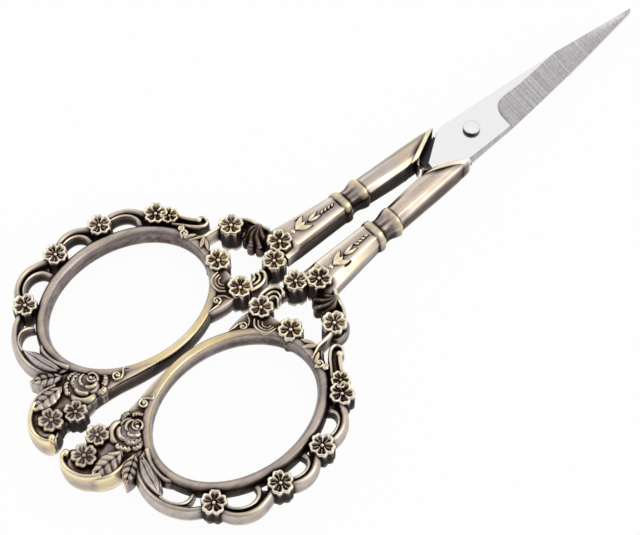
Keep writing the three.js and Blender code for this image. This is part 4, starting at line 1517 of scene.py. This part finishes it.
    @staticmethod
    def bar(inner: Array, outer: Array, wall: Array, high: Array, left: Array, right: Array, bend: Any) -> Array:
        """Eight-sided sections with upright sides and slopes that rise to flats, their corners rounded.

        Args:
            inner: Position of the inner side in each section.
            outer: Position of the outer side.
            wall: Height of the upright sides.
            high: Height of the flat.
            left: Width of the inner slope.
            right: Width of the outer slope.
            bend: How far from a corner its rounding starts.

        Returns:
            Points as (section, point, 2).
        """
        upper = [(outer, wall), (outer - right, high), (inner + left, high), (inner, wall)]
        lower = [(y, -z) for y, z in upper[::-1]]
        corners = np.stack([np.stack(np.broadcast_arrays(y, z), axis=-1) for y, z in upper + lower], axis=-2)
        return rounded(corners, bend, 5, 4)

    def mouth(self) -> Array:
        """Sections of the socket from the collar to the slanted mouth, its lip and the hollow behind it.

        Each section point keeps its distance from the socket's inner side, which leans in towards the mouth. Its x
        goes from the collar to the mouth's plane, or stops short of that plane by the setback of its row.

        Returns:
            Points as (section, point, 3).
        """
        share = np.concatenate([np.linspace(0.02, 1.0, self.socket_rows), np.ones(self.lip_rows)])
        setback = [1.66, 1.56, 1.4, 1.1, 0.7, 0.35, 0.12, 0.02, 0.0, 0.1, 0.5, 2.2]
        setback = np.array([1.75] * self.socket_rows + setback)
        swell = [-0.1, -0.12, 0.05, 0.14, 0.17, 0.17, 0.14, 0.05, -0.08, -0.3, -0.5, -0.58, -0.62]
        grow = np.array([0.0] * (self.socket_rows - 1) + swell)
        wall = 1.5 + 0.5 * np.minimum(share * 1.6, 1.0)
        flat = 0 * share
        inset = np.minimum(grow, 0.0)
        bend = np.interp(setback, [0.0, 1.4, 1.7], [0.6, 0.45, 0.16])[:, None, None]
        sides = (-inset, self.socket_width + inset)
        section = self.bar(*sides, wall, self.socket_high + grow, flat + 0.9, flat + 1.0, bend)
        reach, z = section[..., 0], section[..., 1]
        angle = math.radians(self.mouth_angle)
        start = 0.59
        fall = math.sin(angle) + self.socket_lean * math.cos(angle)
        mouth_x = ((start + reach) * math.cos(angle) - self.mouth_distance) / fall
        mouth_x = mouth_x - 0.6 * np.clip((reach - 2.8) / 0.9, 0, 1) ** 2
        x = self.socket_start + (mouth_x - setback[:, None] - self.socket_start) * share[:, None]
        return np.stack([x, start + reach - self.socket_lean * x, z], axis=2)

    def tongue(self) -> None:
        """Inner end of the mouth's lip, which curls towards the other half; it is painted dark, as shade in the
        mouth.
        """
        path = [(-10.6, 1.62), (-11.2, 1.15), (-11.6, 0.75), (-11.75, 0.36)]
        self.strand(path, 0.62, 2.0, -1.6, (1.0, 0.6), -0.32)

    def tulip(self) -> None:
        """Raised tulip spray along the flat of the shank, in a dark sunk outline."""
        petals = [((-34.0, 4.45 + 0.6 * side), 27 * side, 2.7, 1.15) for side in (1, -1)]
        petals += [((-34.3, 4.45), 0, 2.2, 1.3)]
        petals += [((-31.6, 4.25 + 0.28 * side), 9 * side, 2.3, 0.7) for side in (1, -1)]
        petals += [((-29.9 + 0.7 * i, 4.12 - 0.05 * i), 25, 0.85 - 0.05 * i, 0.5) for i in range(4)]
        for at, degrees, length, width in petals:
            self.leaf(at, degrees, length + 0.5, width + 0.55, 2.46, ribs=0, low=2.0, shine=-0.5, midrib=0.0)
            self.leaf(at, degrees, length, width, 2.69, ribs=0, low=2.0, shine=0.24, midrib=0.1)
        self.bead((-35.8, 4.45), 0.45, 2.69, 2.0, 0.2)

    def build(self, side: Side, brass: bpy.types.Material) -> bpy.types.Object:
        """Makes one handle.

        Args:
            side: Half that the handle belongs to; the front handle is the rear one mirrored.
            brass: Finish of the casting.

        Returns:
            The handle object.
        """
        self.finger_ring()
        self.shell.gild = 0.25
        self.border()
        self.shell.gild = 0.1
        self.leaf_band()
        self.cluster()
        self.shell.gild = 0.5
        self.wreath()
        self.scroll()
        self.shank()
        self.shell.gild = 0.6
        self.tongue()
        self.tulip()
        flip = np.array([1, -1, 1]) if side is Side.FRONT else np.ones(3)
        handle = self.shell.mesh(f"{side.value}_handle_casting", flip, self.crease, WearAndLight())
        handle.data.materials.append(brass)
        return handle


@dataclass
class Studio:
    """Floor, light and the camera at the photograph's viewing angle.

    Lamps have a name, azimuth, elevation, size and power. Soft areas of the surround have azimuth, elevation, a
    number that is larger for a smaller area, and the light that they add.
    """

    look: tuple[float, float, float] = (-37.31, -3.55, 2.73)
    azimuth: float = -42.45
    elevation: float = 58.1953
    distance: float = 271.75
    lens: float = 97.36
    sensor: float = 36.0
    nearest: float = 0.01
    lamp_distance: float = 0.7
    lamps: tuple[tuple[str, float, float, float, float], ...] = (
        ("side_panel", 40.0, 42.0, 0.3, 0.25),
        ("fill_panel", -125.0, 40.0, 0.3, 0.25),
    )
    surround: float = 0.62
    areas: tuple[tuple[float, float, float, float], ...] = (
        (137.0, 58.0, 3.5, 0.47),
        (27.0, 37.0, 10.0, 1.05),
        (-43.0, 30.0, 6.0, -0.25),
    )
    floor_reach: float = 3.0
    floor_drop: float = 0.0002

    def direction(self, azimuth: float, elevation: float) -> Vector:
        """Direction from the object towards a viewer or a lamp."""
        a, e = math.radians(azimuth), math.radians(elevation)
        return Vector((math.sin(a) * math.cos(e), -math.cos(a) * math.cos(e), math.sin(e)))

    def camera(self) -> None:
        """Adds the camera and makes it the scene's."""
        data = bpy.data.cameras.new("camera")
        data.sensor_fit = "HORIZONTAL"
        data.sensor_width = self.sensor
        data.lens = self.lens
        data.clip_start = self.nearest
        camera = bpy.data.objects.new("camera", data)
        back = self.direction(self.azimuth, self.elevation)
        camera.location = Vector((np.array(self.look) + PIVOT) * MM) + back * self.distance * MM
        camera.rotation_euler = (-back).to_track_quat("-Z", "Y").to_euler()
        bpy.context.scene.collection.objects.link(camera)
        bpy.context.scene.camera = camera

    def lamp(self, name: str, azimuth: float, elevation: float, size: float, power: float) -> None:
        """Adds a soft square lamp that faces the object.

        Args:
            name: Name of the lamp.
            azimuth: Its direction round the object in degrees.
            elevation: Its direction above the floor in degrees.
            size: Length of its sides in metres.
            power: Its power in watts.
        """
        data = bpy.data.lights.new(name, "AREA")
        data.shape = "SQUARE"
        data.size = size
        data.energy = power
        lamp = bpy.data.objects.new(name, data)
        way = self.direction(azimuth, elevation)
        lamp.location = way * self.lamp_distance
        lamp.rotation_euler = (-way).to_track_quat("-Z", "Y").to_euler()
        bpy.context.scene.collection.objects.link(lamp)

    def floor(self) -> None:
        """Adds a pale floor that keeps a faint shadow."""
        mesh = bpy.data.meshes.new("floor")
        r = self.floor_reach
        mesh.from_pydata([(-r, -r, 0), (r, -r, 0), (r, r, 0), (-r, r, 0)], [], [(0, 1, 2, 3)])
        floor = bpy.data.objects.new("floor", mesh)
        floor.location.z = -self.floor_drop
        bpy.context.scene.collection.objects.link(floor)
        s = Shader("pale_floor")
        kinds = ("Camera", "Glossy", "Transmission")
        rays = [s.node("ShaderNodeLightPath", out=f"Is {kind} Ray") for kind in kinds]
        shown = ((rays[0] + rays[1] + rays[2]) * 0.95).clamped()
        paper = s.node("ShaderNodeBsdfDiffuse", {}, {"Color": (0.9, 0.9, 0.9, 1)})
        white = s.node("ShaderNodeEmission", {}, {"Color": (1, 1, 1, 1), "Strength": 1.0})
        mesh.materials.append(s.finish(s.node("ShaderNodeMixShader", {}, {0: shown, 1: paper, 2: white})))

    def world(self) -> None:
        """Adds a pale surround: brighter behind the object and to the right, darker round the camera.

        Each soft area is an exponential of how far a direction is from the middle of the area.
        """
        s = Shader("surround", world=True)
        way = s.node("ShaderNodeTexCoord", out="Generated")
        light = self.surround
        for azimuth, elevation, spread, strength in self.areas:
            aim = tuple(self.direction(azimuth, elevation))
            near = s.node("ShaderNodeVectorMath", {"operation": "DOT_PRODUCT"}, {0: way, 1: aim}, out="Value")
            light = ((near - 1.0) * spread).exp() * strength + light
        surface = s.node("ShaderNodeBackground", {}, {"Color": (1.0, 0.99, 0.985, 1), "Strength": light})
        bpy.context.scene.world = s.finish(surface)

    def build(self) -> None:
        """Adds camera, lamps, floor and surround, and sets the plain view transform."""
        self.camera()
        self.floor()
        self.world()
        for lamp in self.lamps:
            self.lamp(*lamp)
        bpy.context.scene.view_settings.view_transform = "Standard"


def main() -> None:
    """Builds the studio and every piece and puts the pieces on their bodies."""
    logging.basicConfig(level=logging.INFO, format="%(name)s: %(message)s")
    Studio().build()
    brass = AntiqueBrass().material("antique_brass")
    polished = PolishedSteel().material("polished_steel")
    ground = GroundSteel().material("ground_steel")
    # Near-black steel that paints the shade at the blades' heels and round the rivet's side.
    painted_shade = PolishedSteel(colour=(0.05, 0.05, 0.052), roughness=0.3).material("painted_shade_steel")
    for side in Side:
        body = f"{side.value}_half"
        handle = CastHandle().build(side, brass)
        blade = Blade().build(side, polished, ground, painted_shade)
        for piece, node, slot in ((handle, "handle", "antique_brass"), (blade, "blade", "blade_steel")):
            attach(piece, body)
            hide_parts(f"{side.value}_{node}")
            LOG.info("%s: %d faces", piece.name, len(piece.data.polygons))
    rivet = Rivet().build(PolishedSteel(roughness=0.08).material("rivet_steel"), painted_shade)
    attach(rivet, "rear_half")
    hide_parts("pivot_rivet")
    LOG.info("%s: %d faces", rivet.name, len(rivet.data.polygons))


if __name__ == "__main__":
    main()
